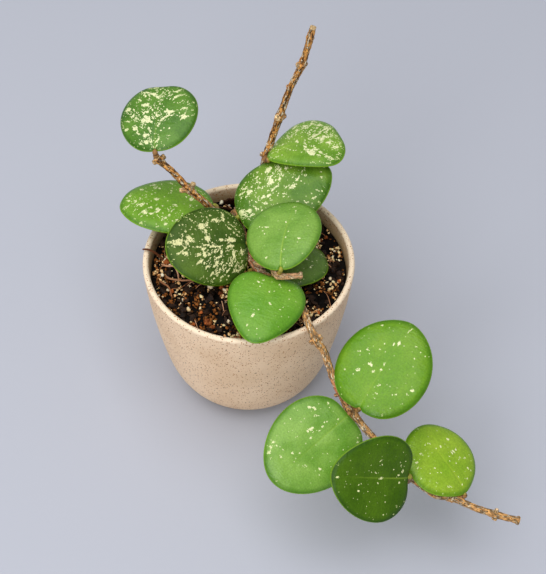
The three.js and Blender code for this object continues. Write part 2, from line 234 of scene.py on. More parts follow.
def curve_through(path: list[Point], step: float) -> np.ndarray:
    """Gives even points along the smooth curve that the part's source uses.

    Args:
        path: the points that the curve passes through.
        step: the rough distance between the points that come back.

    Returns:
        The points, one row each.
    """
    corners = np.array(path, float)
    corners = np.vstack([2 * corners[0] - corners[1], corners, 2 * corners[-1] - corners[-2]])
    dense = []
    for before, start, end, after in zip(corners, corners[1:], corners[2:], corners[3:]):
        gaps = [np.linalg.norm(b - a) ** 0.5 for a, b in ((before, start), (start, end), (end, after))]
        leaving = (start - before) / gaps[0] - (end - before) / (gaps[0] + gaps[1]) + (end - start) / gaps[1]
        coming = (end - start) / gaps[1] - (after - start) / (gaps[1] + gaps[2]) + (after - end) / gaps[2]
        leaving, coming = leaving * gaps[1], coming * gaps[1]
        for t in np.linspace(0, 1, 40, endpoint=False):
            dense.append(
                start
                + leaving * t
                + (3 * (end - start) - 2 * leaving - coming) * t**2
                + (2 * (start - end) + leaving + coming) * t**3
            )
    dense = np.array([*dense, corners[-2]])
    along = np.concatenate([[0], np.cumsum(np.linalg.norm(np.diff(dense, axis=0), axis=1))])
    count = max(int(along[-1] / step), 3) + 1
    even = np.linspace(0, along[-1], count)
    return np.stack([np.interp(even, along, dense[:, axis]) for axis in range(3)], axis=1)


@dataclass
class Tube:
    """A closed round tube that follows a line of points.

    Args:
        centres: the points of its middle line, one row each, in millimetres.
        radii: its radius at each point, in one column or one column for each side.
        sides: how many sides it has.
        seed: shifts the marks of its bark.
        straight: the direction of a straight tube, whose line may turn back on itself.
    """

    centres: np.ndarray
    radii: np.ndarray
    sides: int = 16
    seed: float = 0.0
    straight: np.ndarray | None = None

    def frames(self) -> tuple[np.ndarray, np.ndarray]:
        """Gives the two directions across the line at each point, carried along without a twist."""
        if self.straight is None:
            ahead = np.gradient(self.centres, axis=0)
            flat = np.linalg.norm(ahead, axis=1) < 1e-9
            ahead[flat] = ahead[~flat][0]
        else:
            ahead = np.repeat(self.straight[None, :], len(self.centres), 0)
        ahead /= np.linalg.norm(ahead, axis=1)[:, None]
        first = np.cross(ahead[0], np.eye(3)[np.abs(ahead[0]).argmin()])
        across = []
        for direction in ahead:
            first = first - direction * (first @ direction)
            first = first / np.linalg.norm(first)
            across.append(first)
        across = np.array(across)
        return across, np.cross(ahead, across)

    def build(self, name: str) -> Piece:
        """Rolls a grid up into the tube.

        Args:
            name: the new object's name.

        Returns:
            The mesh object, with its place along and around the tube stored as "bark".
        """
        rows = len(self.centres)
        piece = add_grid(name, rows - 1, self.sides)
        flat = points_of(piece)
        row = np.rint((flat[:, 0] + 1) / 2 * (rows - 1)).astype(int)
        turn = (flat[:, 1] + 1) * math.pi
        column = np.rint((flat[:, 1] + 1) / 2 * self.sides).astype(int) % self.sides
        radii = self.radii if self.radii.ndim == 2 else np.repeat(self.radii[:, None], self.sides, 1)
        radius = radii[row, column]
        across, over = self.frames()
        spread = np.cos(turn)[:, None] * across[row] + np.sin(turn)[:, None] * over[row]
        place(piece, self.centres[row] + spread * radius[:, None])
        steps = np.linalg.norm(np.diff(self.centres, axis=0), axis=1)
        along = np.concatenate([[0], np.cumsum(steps)])[row]
        marks = np.stack([np.cos(turn) * radius, np.sin(turn) * radius, along + 40 * self.seed], axis=1)
        paint(piece, "bark", marks)
        close_seams(piece)
        return piece


# Materials


class Graph:
    """Adds nodes to the tree of a material or of a node group."""

    def __init__(self, tree: Tree) -> None:
        """Keeps the tree, without the nodes that a new tree starts with."""
        self.tree = tree
        tree.nodes.clear()

    def feed(self, socket: Socket, value: object) -> None:
        """Links an input to another socket or sets it to a value.

        Args:
            socket: the input.
            value: the socket, or the number, vector or colour.
        """
        if isinstance(value, Socket):
            self.tree.links.new(value, socket)
        elif socket.type == "RGBA":
            socket.default_value = (*value, 1)
        else:
            socket.default_value = value

    def add(self, kind: str, inputs: dict | None = None, **settings: object) -> Node:
        """Adds one node.

        Args:
            kind: the node's type.
            inputs: values or sockets, by the name or number of the input that they feed.
            settings: the node's own options.

        Returns:
            The new node.
        """
        node = self.tree.nodes.new(kind)
        for key, value in settings.items():
            setattr(node, key, value)
        for key, value in (inputs or {}).items():
            self.feed(node.inputs[key], value)
        return node

    def attribute(self, name: str, output: str = "Fac") -> Socket:
        """Reads what paint() stored under a name: "Fac" gives a number and "Vector" a vector."""
        return self.add("ShaderNodeAttribute", attribute_name=name).outputs[output]

    def maths(self, operation: str, *values: object, clamp: bool = False) -> Socket:
        """Works out one number and gives its socket."""
        node = self.add("ShaderNodeMath", dict(enumerate(values)), operation=operation, use_clamp=clamp)
        return node.outputs[0]

    def times(self, first: object, second: object, clamp: bool = False) -> Socket:
        """Multiplies two numbers."""
        return self.maths("MULTIPLY", first, second, clamp=clamp)

    def plus(self, first: object, second: object, clamp: bool = False) -> Socket:
        """Adds two numbers."""
        return self.maths("ADD", first, second, clamp=clamp)

    def minus(self, first: object, second: object) -> Socket:
        """Takes the second number from the first."""
        return self.maths("SUBTRACT", first, second)

    def vector(self, operation: str, *values: object) -> Socket:
        """Works out one vector and gives its socket."""
        return self.add("ShaderNodeVectorMath", dict(enumerate(values)), operation=operation).outputs[0]

    def scaled(self, vector: object, scale: object) -> Socket:
        """Multiplies a vector by a number."""
        return self.add("ShaderNodeVectorMath", {0: vector, "Scale": scale}, operation="SCALE").outputs[0]

    def blend(self, share: object, below: object, above: object, mode: str = "MIX") -> Socket:
        """Lays one colour over another.

        Args:
            share: how much of the upper colour shows, from 0 to 1.
            below: the lower colour.
            above: the upper colour.
            mode: how the two are laid over each other.

        Returns:
            The socket of the colour that comes out.
        """
        inputs = {0: share, 6: below, 7: above}
        return self.add("ShaderNodeMix", inputs, data_type="RGBA", blend_type=mode).outputs[2]

    def ramp(self, value: object, low: float, high: float, to_low: float = 0.0,
             to_high: float = 1.0) -> Socket:
        """Maps a number from one span to another and gives the socket."""
        inputs = {0: value, 1: low, 2: high, 3: to_low, 4: to_high}
        return self.add("ShaderNodeMapRange", inputs, clamp=True).outputs[0]

    def noise(self, vector: object, scale: float, detail: float = 2.0, rough: float = 0.5) -> object:
        """Gives the height of a smooth random pattern, from 0 to 1."""
        inputs = {"Vector": vector, "Scale": scale, "Detail": detail, "Roughness": rough}
        return self.add("ShaderNodeTexNoise", inputs).outputs[0]

    def millimetres(self) -> Socket:
        """Gives the place on the object, in millimetres."""
        return self.scaled(self.add("ShaderNodeTexCoord").outputs["Object"], 1 / MM)

    def group(self, tree: Tree, **inputs: object) -> Socket:
        """Places a node group and gives its only output."""
        return self.add("ShaderNodeGroup", inputs, node_tree=tree).outputs[0]


def new_group(name: str, inputs: dict[str, str], output: str, kind: str) -> tuple[Graph, dict, object]:
    """Starts a node group.

    Args:
        name: the group's name.
        inputs: the kind of each input socket, by its name.
        output: the name of its only output.
        kind: the output's kind of socket.

    Returns:
        The group's graph, its input sockets by name, and the socket that its result goes to.
    """
    tree = bpy.data.node_groups.new(name, "ShaderNodeTree")
    for socket, socket_kind in inputs.items():
        tree.interface.new_socket(socket, in_out="INPUT", socket_type=socket_kind)
    tree.interface.new_socket(output, in_out="OUTPUT", socket_type=kind)
    graph = Graph(tree)
    entry = graph.add("NodeGroupInput")
    way_out = graph.add("NodeGroupOutput")
    return graph, {socket: entry.outputs[socket] for socket in inputs}, way_out.inputs[0]


NUMBER, VECTOR, COLOUR = "NodeSocketFloat", "NodeSocketVector", "NodeSocketColor"


def make_mottle() -> Tree:
    """Builds the group that mixes two colours in soft clouds with a finer grain in them."""
    inputs = {"Vector": VECTOR, "Size": NUMBER, "Light": COLOUR, "Deep": COLOUR, "Grain": NUMBER}
    graph, given, result = new_group("soft_mottle", inputs, "Colour", COLOUR)
    shrunk = graph.scaled(given["Vector"], graph.maths("DIVIDE", 1.0, given["Size"]))
    clouds = graph.ramp(graph.noise(shrunk, 1.0), 0.36, 0.64)
    base = graph.blend(clouds, given["Deep"], given["Light"])
    fine = graph.noise(given["Vector"], 1.7)
    swing = graph.times(graph.minus(fine, 0.5), given["Grain"])
    lighter = graph.blend(1.0, base, (1.25, 1.25, 1.25), "MULTIPLY")
    darker = graph.blend(1.0, base, (0.78, 0.78, 0.78), "MULTIPLY")
    tinted = graph.blend(graph.plus(swing, 0.5, clamp=True), darker, lighter)
    graph.tree.links.new(tinted, result)
    return graph.tree


def make_specks() -> Tree:
    """Builds the group that marks scattered round specks of unlike sizes."""
    inputs = {"Vector": VECTOR, "Spacing": NUMBER, "Radius": NUMBER, "Share": NUMBER}
    graph, given, result = new_group("scattered_specks", inputs, "Mask", NUMBER)
    shrunk = graph.scaled(given["Vector"], graph.maths("DIVIDE", 1.0, given["Spacing"]))
    cells = graph.add("ShaderNodeTexVoronoi", {"Vector": shrunk, "Scale": 1.0})
    lot = graph.add("ShaderNodeSeparateColor", {0: cells.outputs["Color"]})
    reach = graph.maths("DIVIDE", given["Radius"], given["Spacing"])
    sized = graph.times(reach, graph.ramp(lot.outputs[1], 0.0, 1.0, 0.45, 1.3))
    soft = graph.minus(sized, cells.outputs["Distance"])
    inside = graph.times(soft, 12.0, clamp=True)
    chosen = graph.maths("LESS_THAN", lot.outputs[0], given["Share"])
    graph.tree.links.new(graph.times(inside, chosen), result)
    return graph.tree


def make_splash() -> Tree:
    """Builds the group that marks the pale splashes: small angular cells that lean along the side veins."""
    inputs = {"Blade": VECTOR, "Density": NUMBER, "Seed": NUMBER, "Cell": NUMBER}
    graph, given, result = new_group("leaf_splashes", inputs, "Mask", NUMBER)
    wobble = graph.add("ShaderNodeTexNoise", {"Vector": given["Blade"], "Scale": 1.9, "Detail": 1.0})
    centred = graph.vector("SUBTRACT", wobble.outputs["Color"], (0.5, 0.5, 0.5))
    bent = graph.vector("ADD", given["Blade"], graph.scaled(centred, 0.7))
    shrunk = graph.scaled(bent, graph.maths("DIVIDE", 1.0, given["Cell"]))
    cells = graph.add("ShaderNodeTexVoronoi", {"Vector": shrunk, "Scale": 1.0})
    centre = graph.scaled(cells.outputs["Position"], given["Cell"])
    parts = graph.add("ShaderNodeSeparateXYZ", {0: centre})
    aside = graph.maths("ABSOLUTE", parts.outputs[1])
    side = graph.maths("SIGN", parts.outputs[1])
    forward = graph.minus(parts.outputs[0], graph.times(aside, 0.9))
    depth = graph.plus(given["Seed"], graph.times(side, 7.3))
    streaks = graph.add("ShaderNodeCombineXYZ", {0: forward, 1: graph.times(aside, 0.45), 2: depth})
    lot = graph.add("ShaderNodeSeparateColor", {0: cells.outputs["Color"]})
    height = graph.times(lot.outputs[0], 0.12)
    for scale, weight in ((0.3, 0.2), (0.95, 0.36), (2.2, 0.32)):
        layer = graph.times(graph.noise(streaks.outputs[0], scale, 1.0), weight)
        height = graph.plus(height, layer)
    limit = graph.minus(0.7, graph.times(given["Density"], 0.27))
    chosen = graph.maths("GREATER_THAN", height, limit)
    strength = graph.ramp(lot.outputs[1], 0.0, 0.6, 0.72, 1.0)
    graph.tree.links.new(graph.times(chosen, strength), result)
    return graph.tree


@dataclass(frozen=True)
class Shine:
    """How a surface takes light.

    Args:
        roughness: the base roughness.
        play: how far the roughness swings over the surface.
        specular: the level of the plain reflection.
        relief: the depth of the fine bump, in millimetres.
        grain: the width of the fine bump's lumps, in millimetres.
    """

    roughness: float
    play: float
    specular: float
    relief: float
    grain: float


class Finish:
    """Common work of all the finishes: it wires a colour, a roughness and a bump to one shader."""

    groups: dict[str, Tree] = {}

    @classmethod
    def shared(cls, name: str) -> Tree:
        """Gives a shared node group, which is built the first time that it is asked for."""
        makers = {"mottle": make_mottle, "specks": make_specks, "splash": make_splash}
        if name not in cls.groups:
            cls.groups[name] = makers[name]()
        return cls.groups[name]

    @staticmethod
    def material(name: str) -> tuple[Material, Graph]:
        """Starts a material with nodes and gives it with its graph."""
        material = bpy.data.materials.new(name)
        material.use_nodes = True
        return material, Graph(material.node_tree)

    @staticmethod
    def wire(graph: Graph, colour: object, shine: Shine, height: object, where: object) -> None:
        """Puts the shader and the output in.

        Args:
            graph: the material's graph.
            colour: the socket of the colour.
            shine: how the surface takes light.
            height: the socket of the larger relief, from 0 to 1, or None.
            where: the socket of the place that the fine grain reads.
        """
        fine = graph.noise(where, 1 / shine.grain, 3.0, 0.6)
        total = fine if height is None else graph.plus(graph.times(fine, 0.4), height)
        bump = graph.add("ShaderNodeBump", {"Height": total, "Strength": 1.0, "Distance": shine.relief * MM})
        rough = graph.ramp(graph.noise(where, 0.4, 2.0), 0.3, 0.7, shine.roughness - shine.play,
                           shine.roughness + shine.play)
        shader = graph.add("ShaderNodeBsdfPrincipled", {
            "Base Color": colour,
            "Roughness": rough,
            "Specular IOR Level": shine.specular,
            "Normal": bump.outputs[0],
        })
        graph.add("ShaderNodeOutputMaterial", {"Surface": shader.outputs[0]})


@dataclass(frozen=True)
class StonewareFinish(Finish):
    """Unglazed pale clay with fine brown specks, a lighter lip, and an inside darkened partly by soil stain and partly
    as painted shade.
    """

    body: Colour = tone(240, 210, 176)
    deep: Colour = tone(230, 198, 162)
    lip: Colour = tone(246, 226, 198)
    # inside: the inner wall's tone, darker than the body: partly soil stain, partly painted shade of the pot's hollow.
    inside: Colour = tone(184, 156, 116)
    speck: Colour = tone(96, 44, 12)
    stain: Colour = tone(172, 112, 60)
    rubbed: Colour = tone(190, 128, 70)
    shine: Shine = Shine(roughness=0.6, play=0.06, specular=0.3, relief=0.05, grain=0.45)

    def build(self) -> Material:
        """Builds the material, which reads the attributes "lip" and "inner"."""
        material, graph = self.material("speckled_stoneware")
        where = graph.millimetres()
        base = graph.group(self.shared("mottle"), Vector=where, Size=16.0, Light=self.body, Deep=self.deep,
                           Grain=0.35)
        # Painted shade: the whole inner wall is darkened, partly as soil stain and partly for the shade inside the
        # pot.
        within = graph.blend(graph.attribute("inner"), base, self.inside)
        lip = graph.attribute("lip")
        rim = graph.blend(lip, within, self.lip)
        edge = graph.minus(1.0, graph.maths("ABSOLUTE", graph.ramp(lip, 0.0, 0.9, -1.0, 1.0)))
        worn = graph.times(edge, graph.ramp(graph.noise(where, 0.9, 3.0), 0.46, 0.62), clamp=True)
        colour = graph.blend(graph.times(worn, 0.5), rim, self.rubbed)
        for spacing, radius, share, spot in ((0.75, 0.23, 0.8, self.stain), (1.2, 0.26, 0.5, self.speck)):
            specks = graph.group(self.shared("specks"), Vector=where, Spacing=spacing, Radius=radius, Share=share)
            colour = graph.blend(specks, colour, spot)
        self.wire(graph, colour, self.shine, None, where)
        return material


@dataclass(frozen=True)
class MixFinish(Finish):
    """Pieces of the potting mix in one family of tones, each piece with its own shade.

    Args:
        name: the material's name.
        dark: the darkest tone.
        light: the lightest tone.
        accent: a tone that some patches turn to.
        shine: how it takes light.
    """

    name: str
    dark: Colour
    light: Colour
    accent: Colour
    shine: Shine = Shine(roughness=0.75, play=0.15, specular=0.12, relief=0.3, grain=0.5)

    def build(self) -> Material:
        """Builds the material, which reads the attribute "shade"."""
        material, graph = self.material(self.name)
        where = graph.millimetres()
        shade = graph.attribute("shade")
        own = graph.blend(shade, self.dark, self.light)
        grain = graph.ramp(graph.noise(where, 1.1, 3.0, 0.6), 0.35, 0.7)
        worn = graph.blend(graph.times(grain, 0.45), own, self.accent)
        self.wire(graph, worn, self.shine, None, where)
        return material


@dataclass(frozen=True)
class BarkFinish(Finish):
    """Brown bark with long pale flaky streaks and dark pores."""

    body: Colour = tone(228, 164, 86)
    deep: Colour = tone(154, 98, 44)
    crack: Colour = tone(30, 15, 7)
    flake: Colour = tone(255, 238, 204)
    cut: Colour = tone(250, 214, 158)
    # red: reddish young bark; on the trailing stem under the middle leaves it also stands for painted shade.
    red: Colour = tone(176, 84, 54)
    shine: Shine = Shine(roughness=0.62, play=0.12, specular=0.25, relief=0.6, grain=0.4)

    def build(self) -> Material:
        """Builds the material, which reads the attributes "bark", "cut", "tan" and "red"."""
        material, graph = self.material("woody_bark")
        round_it = graph.attribute("bark", "Vector")
        long_way = graph.vector("MULTIPLY", round_it, (1.0, 1.0, 0.34))
        base = graph.group(self.shared("mottle"), Vector=round_it, Size=1.5, Light=self.body, Deep=self.deep,
                           Grain=1.0)
        reddish = graph.blend(graph.attribute("red"), base, self.red)
        elsewhere = graph.vector("ADD", long_way, (31.0, 7.0, 3.0))
        pits = graph.ramp(graph.noise(elsewhere, 1.1, 3.0, 0.6), 0.5, 0.42)
        cracked = graph.blend(graph.times(pits, 0.85), reddish, self.crack)
        streaks = graph.ramp(graph.noise(long_way, 1.3, 3.0, 0.62), 0.55, 0.61)
        flaked = graph.blend(graph.times(streaks, 0.8), cracked, self.flake)
        young = graph.times(graph.attribute("tan"), 0.7)
        colour = graph.blend(young, flaked, self.cut)
        for spacing, radius, share, spot in ((0.8, 0.22, 0.5, self.crack), (1.1, 0.3, 0.4, self.flake)):
            moved = graph.vector("ADD", round_it, (spacing, 9.0, 2.0))
            dots = graph.group(self.shared("specks"), Vector=moved, Spacing=spacing, Radius=radius, Share=share)
            colour = graph.blend(graph.times(dots, 0.75), colour, spot)
        uneven = graph.ramp(graph.noise(round_it, 1.4), 0.3, 0.6, 0.55, 1.0)
        finished = graph.blend(graph.times(graph.attribute("cut"), uneven), colour, self.cut)
        self.wire(graph, finished, self.shine, graph.minus(streaks, pits), round_it)
        return material


@dataclass(frozen=True)
class StalkFinish(Finish):
    """A leaf's short stalk: yellow-green, and browner and darkly ringed towards the stem."""

    green: Colour = tone(158, 166, 50)
    brown: Colour = tone(146, 104, 56)
    crack: Colour = tone(52, 28, 12)
    rings: float = 4.2
    shine: Shine = Shine(roughness=0.5, play=0.08, specular=0.4, relief=0.08, grain=0.4)

    def build(self) -> Material:
        """Builds the material, which reads the attributes "bark" and "reach"."""
        material, graph = self.material("leaf_stalk")
        where = graph.attribute("bark", "Vector")
        share = graph.ramp(graph.attribute("reach"), 0.15, 0.7)
        base = graph.blend(share, self.brown, self.green)
        shaded = graph.group(self.shared("mottle"), Vector=where, Size=1.2, Light=base, Deep=base, Grain=0.9)
        turns = graph.times(graph.add("ShaderNodeSeparateXYZ", {0: where}).outputs[2], self.rings)
        ring = graph.ramp(graph.maths("SINE", turns), 0.35, 0.95, 0.0, 0.75)
        woody = graph.times(ring, graph.minus(1.0, share))
        ringed = graph.blend(woody, shaded, self.crack)
        self.wire(graph, ringed, self.shine, None, where)
        return material


@dataclass(frozen=True)
class LeafLook(Finish):
    """The colours and marks of one leaf.

    Args:
        light: the lighter green.
        deep: the deeper green.
        density: how thickly the splashes lie, from 0 to 1, away from the marks and patches.
        marks: the main splashes: along (0 base, 1 tip), across (-1 right, 1 left), then half their
            length and half their breadth in millimetres, and, where they are turned from the midrib,
            their turn in degrees.
        patches: thicker or thinner places: along, across, size as a share of the leaf, change.
        pale: the tone of the splashes.
        vein: the tone of the midrib.
        rib: how plainly the midrib shows, from 0 to 1.
        bend: how far the midrib leans to the left at the tip, as a share of half the width.
        seed: shifts the pattern.
    """

    light: Colour
    deep: Colour
    density: float
    marks: tuple[Mark, ...] = ()
    patches: tuple[Patch, ...] = ()
    pale: Colour = tone(238, 238, 188)
    vein: Colour = tone(160, 190, 64)
    rib: float = 0.4
    bend: float = 0.0
    margin: Colour = tone(150, 192, 44)
    under: Colour = tone(140, 164, 92)
    seed: float = 0.0
    shine: Shine = Shine(roughness=0.3, play=0.05, specular=0.27, relief=0.13, grain=0.6)

    def build(self, name: str) -> Material:
        """Builds the leaf's own material, which reads "blade", "splash", "vein", "rim" and "under"."""
        material, graph = self.material(f"{name}_skin")
        blade = graph.attribute("blade", "Vector")
        shifted = graph.vector("ADD", blade, (13 * self.seed, 5 * self.seed, self.seed))
        calm = tuple(0.75 * deep + 0.25 * light for deep, light in zip(self.deep, self.light))
        body = graph.group(self.shared("mottle"), Vector=shifted, Size=11.0, Light=self.light, Deep=calm,
                           Grain=1.5)
        tiny = graph.group(self.shared("specks"), Vector=shifted, Spacing=1.7, Radius=0.27, Share=0.5)
        flecked = graph.blend(graph.times(tiny, 0.42), body, self.pale)
        veined = graph.blend(graph.attribute("vein"), flecked, self.vein)
        density = graph.attribute("splash")
        mask = graph.group(self.shared("splash"), Blade=blade, Density=density, Seed=self.seed, Cell=0.36)
        fade = graph.ramp(graph.noise(shifted, 0.9, 2.0), 0.32, 0.5, 0.82, 1.0)
        rim = graph.attribute("rim")
        inside = graph.ramp(rim, 0.985, 0.965)
        marked = graph.times(graph.times(mask, fade), inside)
        splashed = graph.blend(marked, veined, self.pale)
        share = graph.times(density, 0.6, clamp=True)
        dots = graph.group(self.shared("specks"), Vector=blade, Spacing=1.05, Radius=0.25, Share=share)
        dotted = graph.blend(graph.times(dots, 0.9), splashed, self.pale)
        # Painted shade: the blade darkens broadly towards its rim, and more strongly near the edge, as shade on the
        # domed, turned-down margin.
        broad_rim_shade = graph.times(graph.ramp(rim, 0.5, 1.0), 0.35)
        rounded = graph.blend(broad_rim_shade, dotted, (0.6, 0.72, 0.4), "MULTIPLY")
        deeper = graph.times(graph.ramp(rim, 0.88, 0.98), 0.95)
        shaded = graph.blend(deeper, rounded, (0.42, 0.58, 0.22), "MULTIPLY")
        edge = graph.times(graph.ramp(rim, 0.976, 0.994), 0.45)
        rimmed = graph.blend(edge, shaded, self.margin)
        colour = graph.blend(graph.attribute("under"), rimmed, self.under)
        across_veins = graph.vector("MULTIPLY", shifted, (0.7, 0.32, 1.0))
        wrinkles = graph.times(graph.noise(across_veins, 1.0, 2.0), 2.2)
        self.wire(graph, colour, self.shine, wrinkles, shifted)
        return material


# The pot


@dataclass
class Pot:
    """The tapering stoneware pot, drawn up ring by ring from a disc."""

    height: float = 64.0
    rim_radius: float = 40.0
    wall: float = 2.3
    foot_radius: float = 18.5
    foot_rounding: tuple[float, float] = (29.2, 0.16)
    belly: tuple[float, float] = (33.4, 20.4)
    bulge: float = 1.5
    uneven: float = 0.12
    lip_depth: float = 1.9
    lip_fade: float = 1.2
    middle_heights: Point = (0, 20.4, 62.85)
    middle_radii: Point = (25.0, 32.2, 38.85)
    segments: int = 160
    outer_steps: int = 18
    inner_steps: int = 12

    def wall_line(self, inset: float, steps: int) -> list[tuple[float, float]]:
        """Gives the wall's outline from the foot's edge up to the lip.

        Args:
            inset: how far it lies inside the outer skin.
            steps: how many steps go round the bowl, and as many up the wall.

        Returns:
            Radius and height of each point.
        """
        line = []
        for t in np.linspace(0, 1, steps + 1):
            foot, bend, end = (1 - t) ** 2, 2 * t * (1 - t), t**2
            radius = foot * self.foot_radius + bend * self.foot_rounding[0] + end * self.belly[0]
            height = bend * self.foot_rounding[1] + end * self.belly[1]
            line.append((radius - inset, height + inset * (1 - t)))
        lip_height = self.height - self.wall / 2
        for t in np.linspace(0, 1, steps + 1)[1:]:
            radius = self.belly[0] + t * (self.rim_radius - self.belly[0]) + 2 * t * (1 - t) * self.bulge
            line.append((radius - inset, self.belly[1] + t * (lip_height - self.belly[1])))
        return line

    def outline(self) -> list[tuple[float, float]]:
        """Gives radius and height from the outer foot over the lip and down to the inner floor."""
        outer = self.wall_line(0, self.outer_steps)
        inner = self.wall_line(self.wall, self.inner_steps)[::-1]
        half = self.wall / 2
        lip = [
            (self.rim_radius - half + half * math.cos(a), self.height - half + half * math.sin(a))
            for a in np.linspace(0, math.pi, self.inner_steps + 1)[1:-1]
        ]
        return [(self.foot_radius * 0.5, 0.0), *outer, *lip, *inner, (self.foot_radius * 0.4, self.wall)]

    def build(self) -> None:
        """Builds the pot, slightly out of round, marks its lip and its inside, and dresses it."""
        rest_selection()
        line = self.outline()
        bpy.ops.mesh.primitive_circle_add(vertices=self.segments, radius=line[0][0] * MM, fill_type="TRIFAN")
        piece = named("stoneware_pot")
        bpy.ops.object.mode_set(mode="EDIT")
        bpy.ops.mesh.select_all(action="SELECT")
        bpy.ops.mesh.flip_normals()
        bpy.ops.mesh.select_all(action="DESELECT")
        bpy.ops.mesh.select_mode(type="EDGE")
        bpy.ops.mesh.select_non_manifold(extend=False, use_wire=False, use_multi_face=False,
                                         use_non_contiguous=False, use_verts=False)
        for (radius, height), (next_radius, next_height) in zip(line, line[1:]):
            rise = (0, 0, (next_height - height) * MM)
            bpy.ops.mesh.extrude_edges_move(TRANSFORM_OT_translate={"value": rise})
            share = next_radius / radius
            bpy.ops.transform.resize(value=(share, share, 1), center_override=(0, 0, next_height * MM))
        bpy.ops.mesh.merge(type="CENTER")
        bpy.ops.object.mode_set(mode="OBJECT")
        points = points_of(piece) / MM
        radius = np.hypot(points[:, 0], points[:, 1])
        turn = np.arctan2(points[:, 1], points[:, 0])
        wave = self.uneven * np.sin(2 * turn + 0.7) * points[:, 2] / self.height
        swell = (radius + wave * np.minimum(radius / self.foot_radius, 1)) / np.maximum(radius, 1e-6)
        points[:, :2] *= swell[:, None]
        place(piece, points)
        middle = np.interp(points[:, 2], self.middle_heights, self.middle_radii)
        within = np.clip((middle - radius) * 2, 0, 1) * (points[:, 2] > self.wall - 0.2)
        lip = np.clip((points[:, 2] - (self.height - self.lip_depth)) / self.lip_fade, 0, 1)
        paint(piece, "inner", within)
        paint(piece, "lip", lip * 0.85)
        close_seams(piece)
        dress(piece, StonewareFinish().build())
        finish_piece(piece, "pot")


# The potting mix


class Grain(Enum):
    """The kinds of loose pieces in the potting mix."""

    CHIP = "bark_chips"
    CRUMB = "dark_crumbs"
    STRAW = "golden_crumbs"
    LUMP = "rust_lumps"
    PERLITE = "perlite_grains"


@dataclass(frozen=True)
class GrainKind:
    """How one kind of grain looks and how many there are.

    Args:
        kind: which kind it is.
        count: how many there are.
        least: the least radius.
        most: the largest radius.
        flat: its breadth and its thickness, as shares of its length.
        lift: how far it stands out of the bed, as a share of its radius.
        gather: how strongly it lies in drifts, from 0 to 1.
        finish: its material.
        seed: the seed of its random draws.
    """

    kind: Grain
    count: int
    least: float
    most: float
    flat: tuple[float, float]
    lift: float
    gather: float
    finish: MixFinish
    seed: int


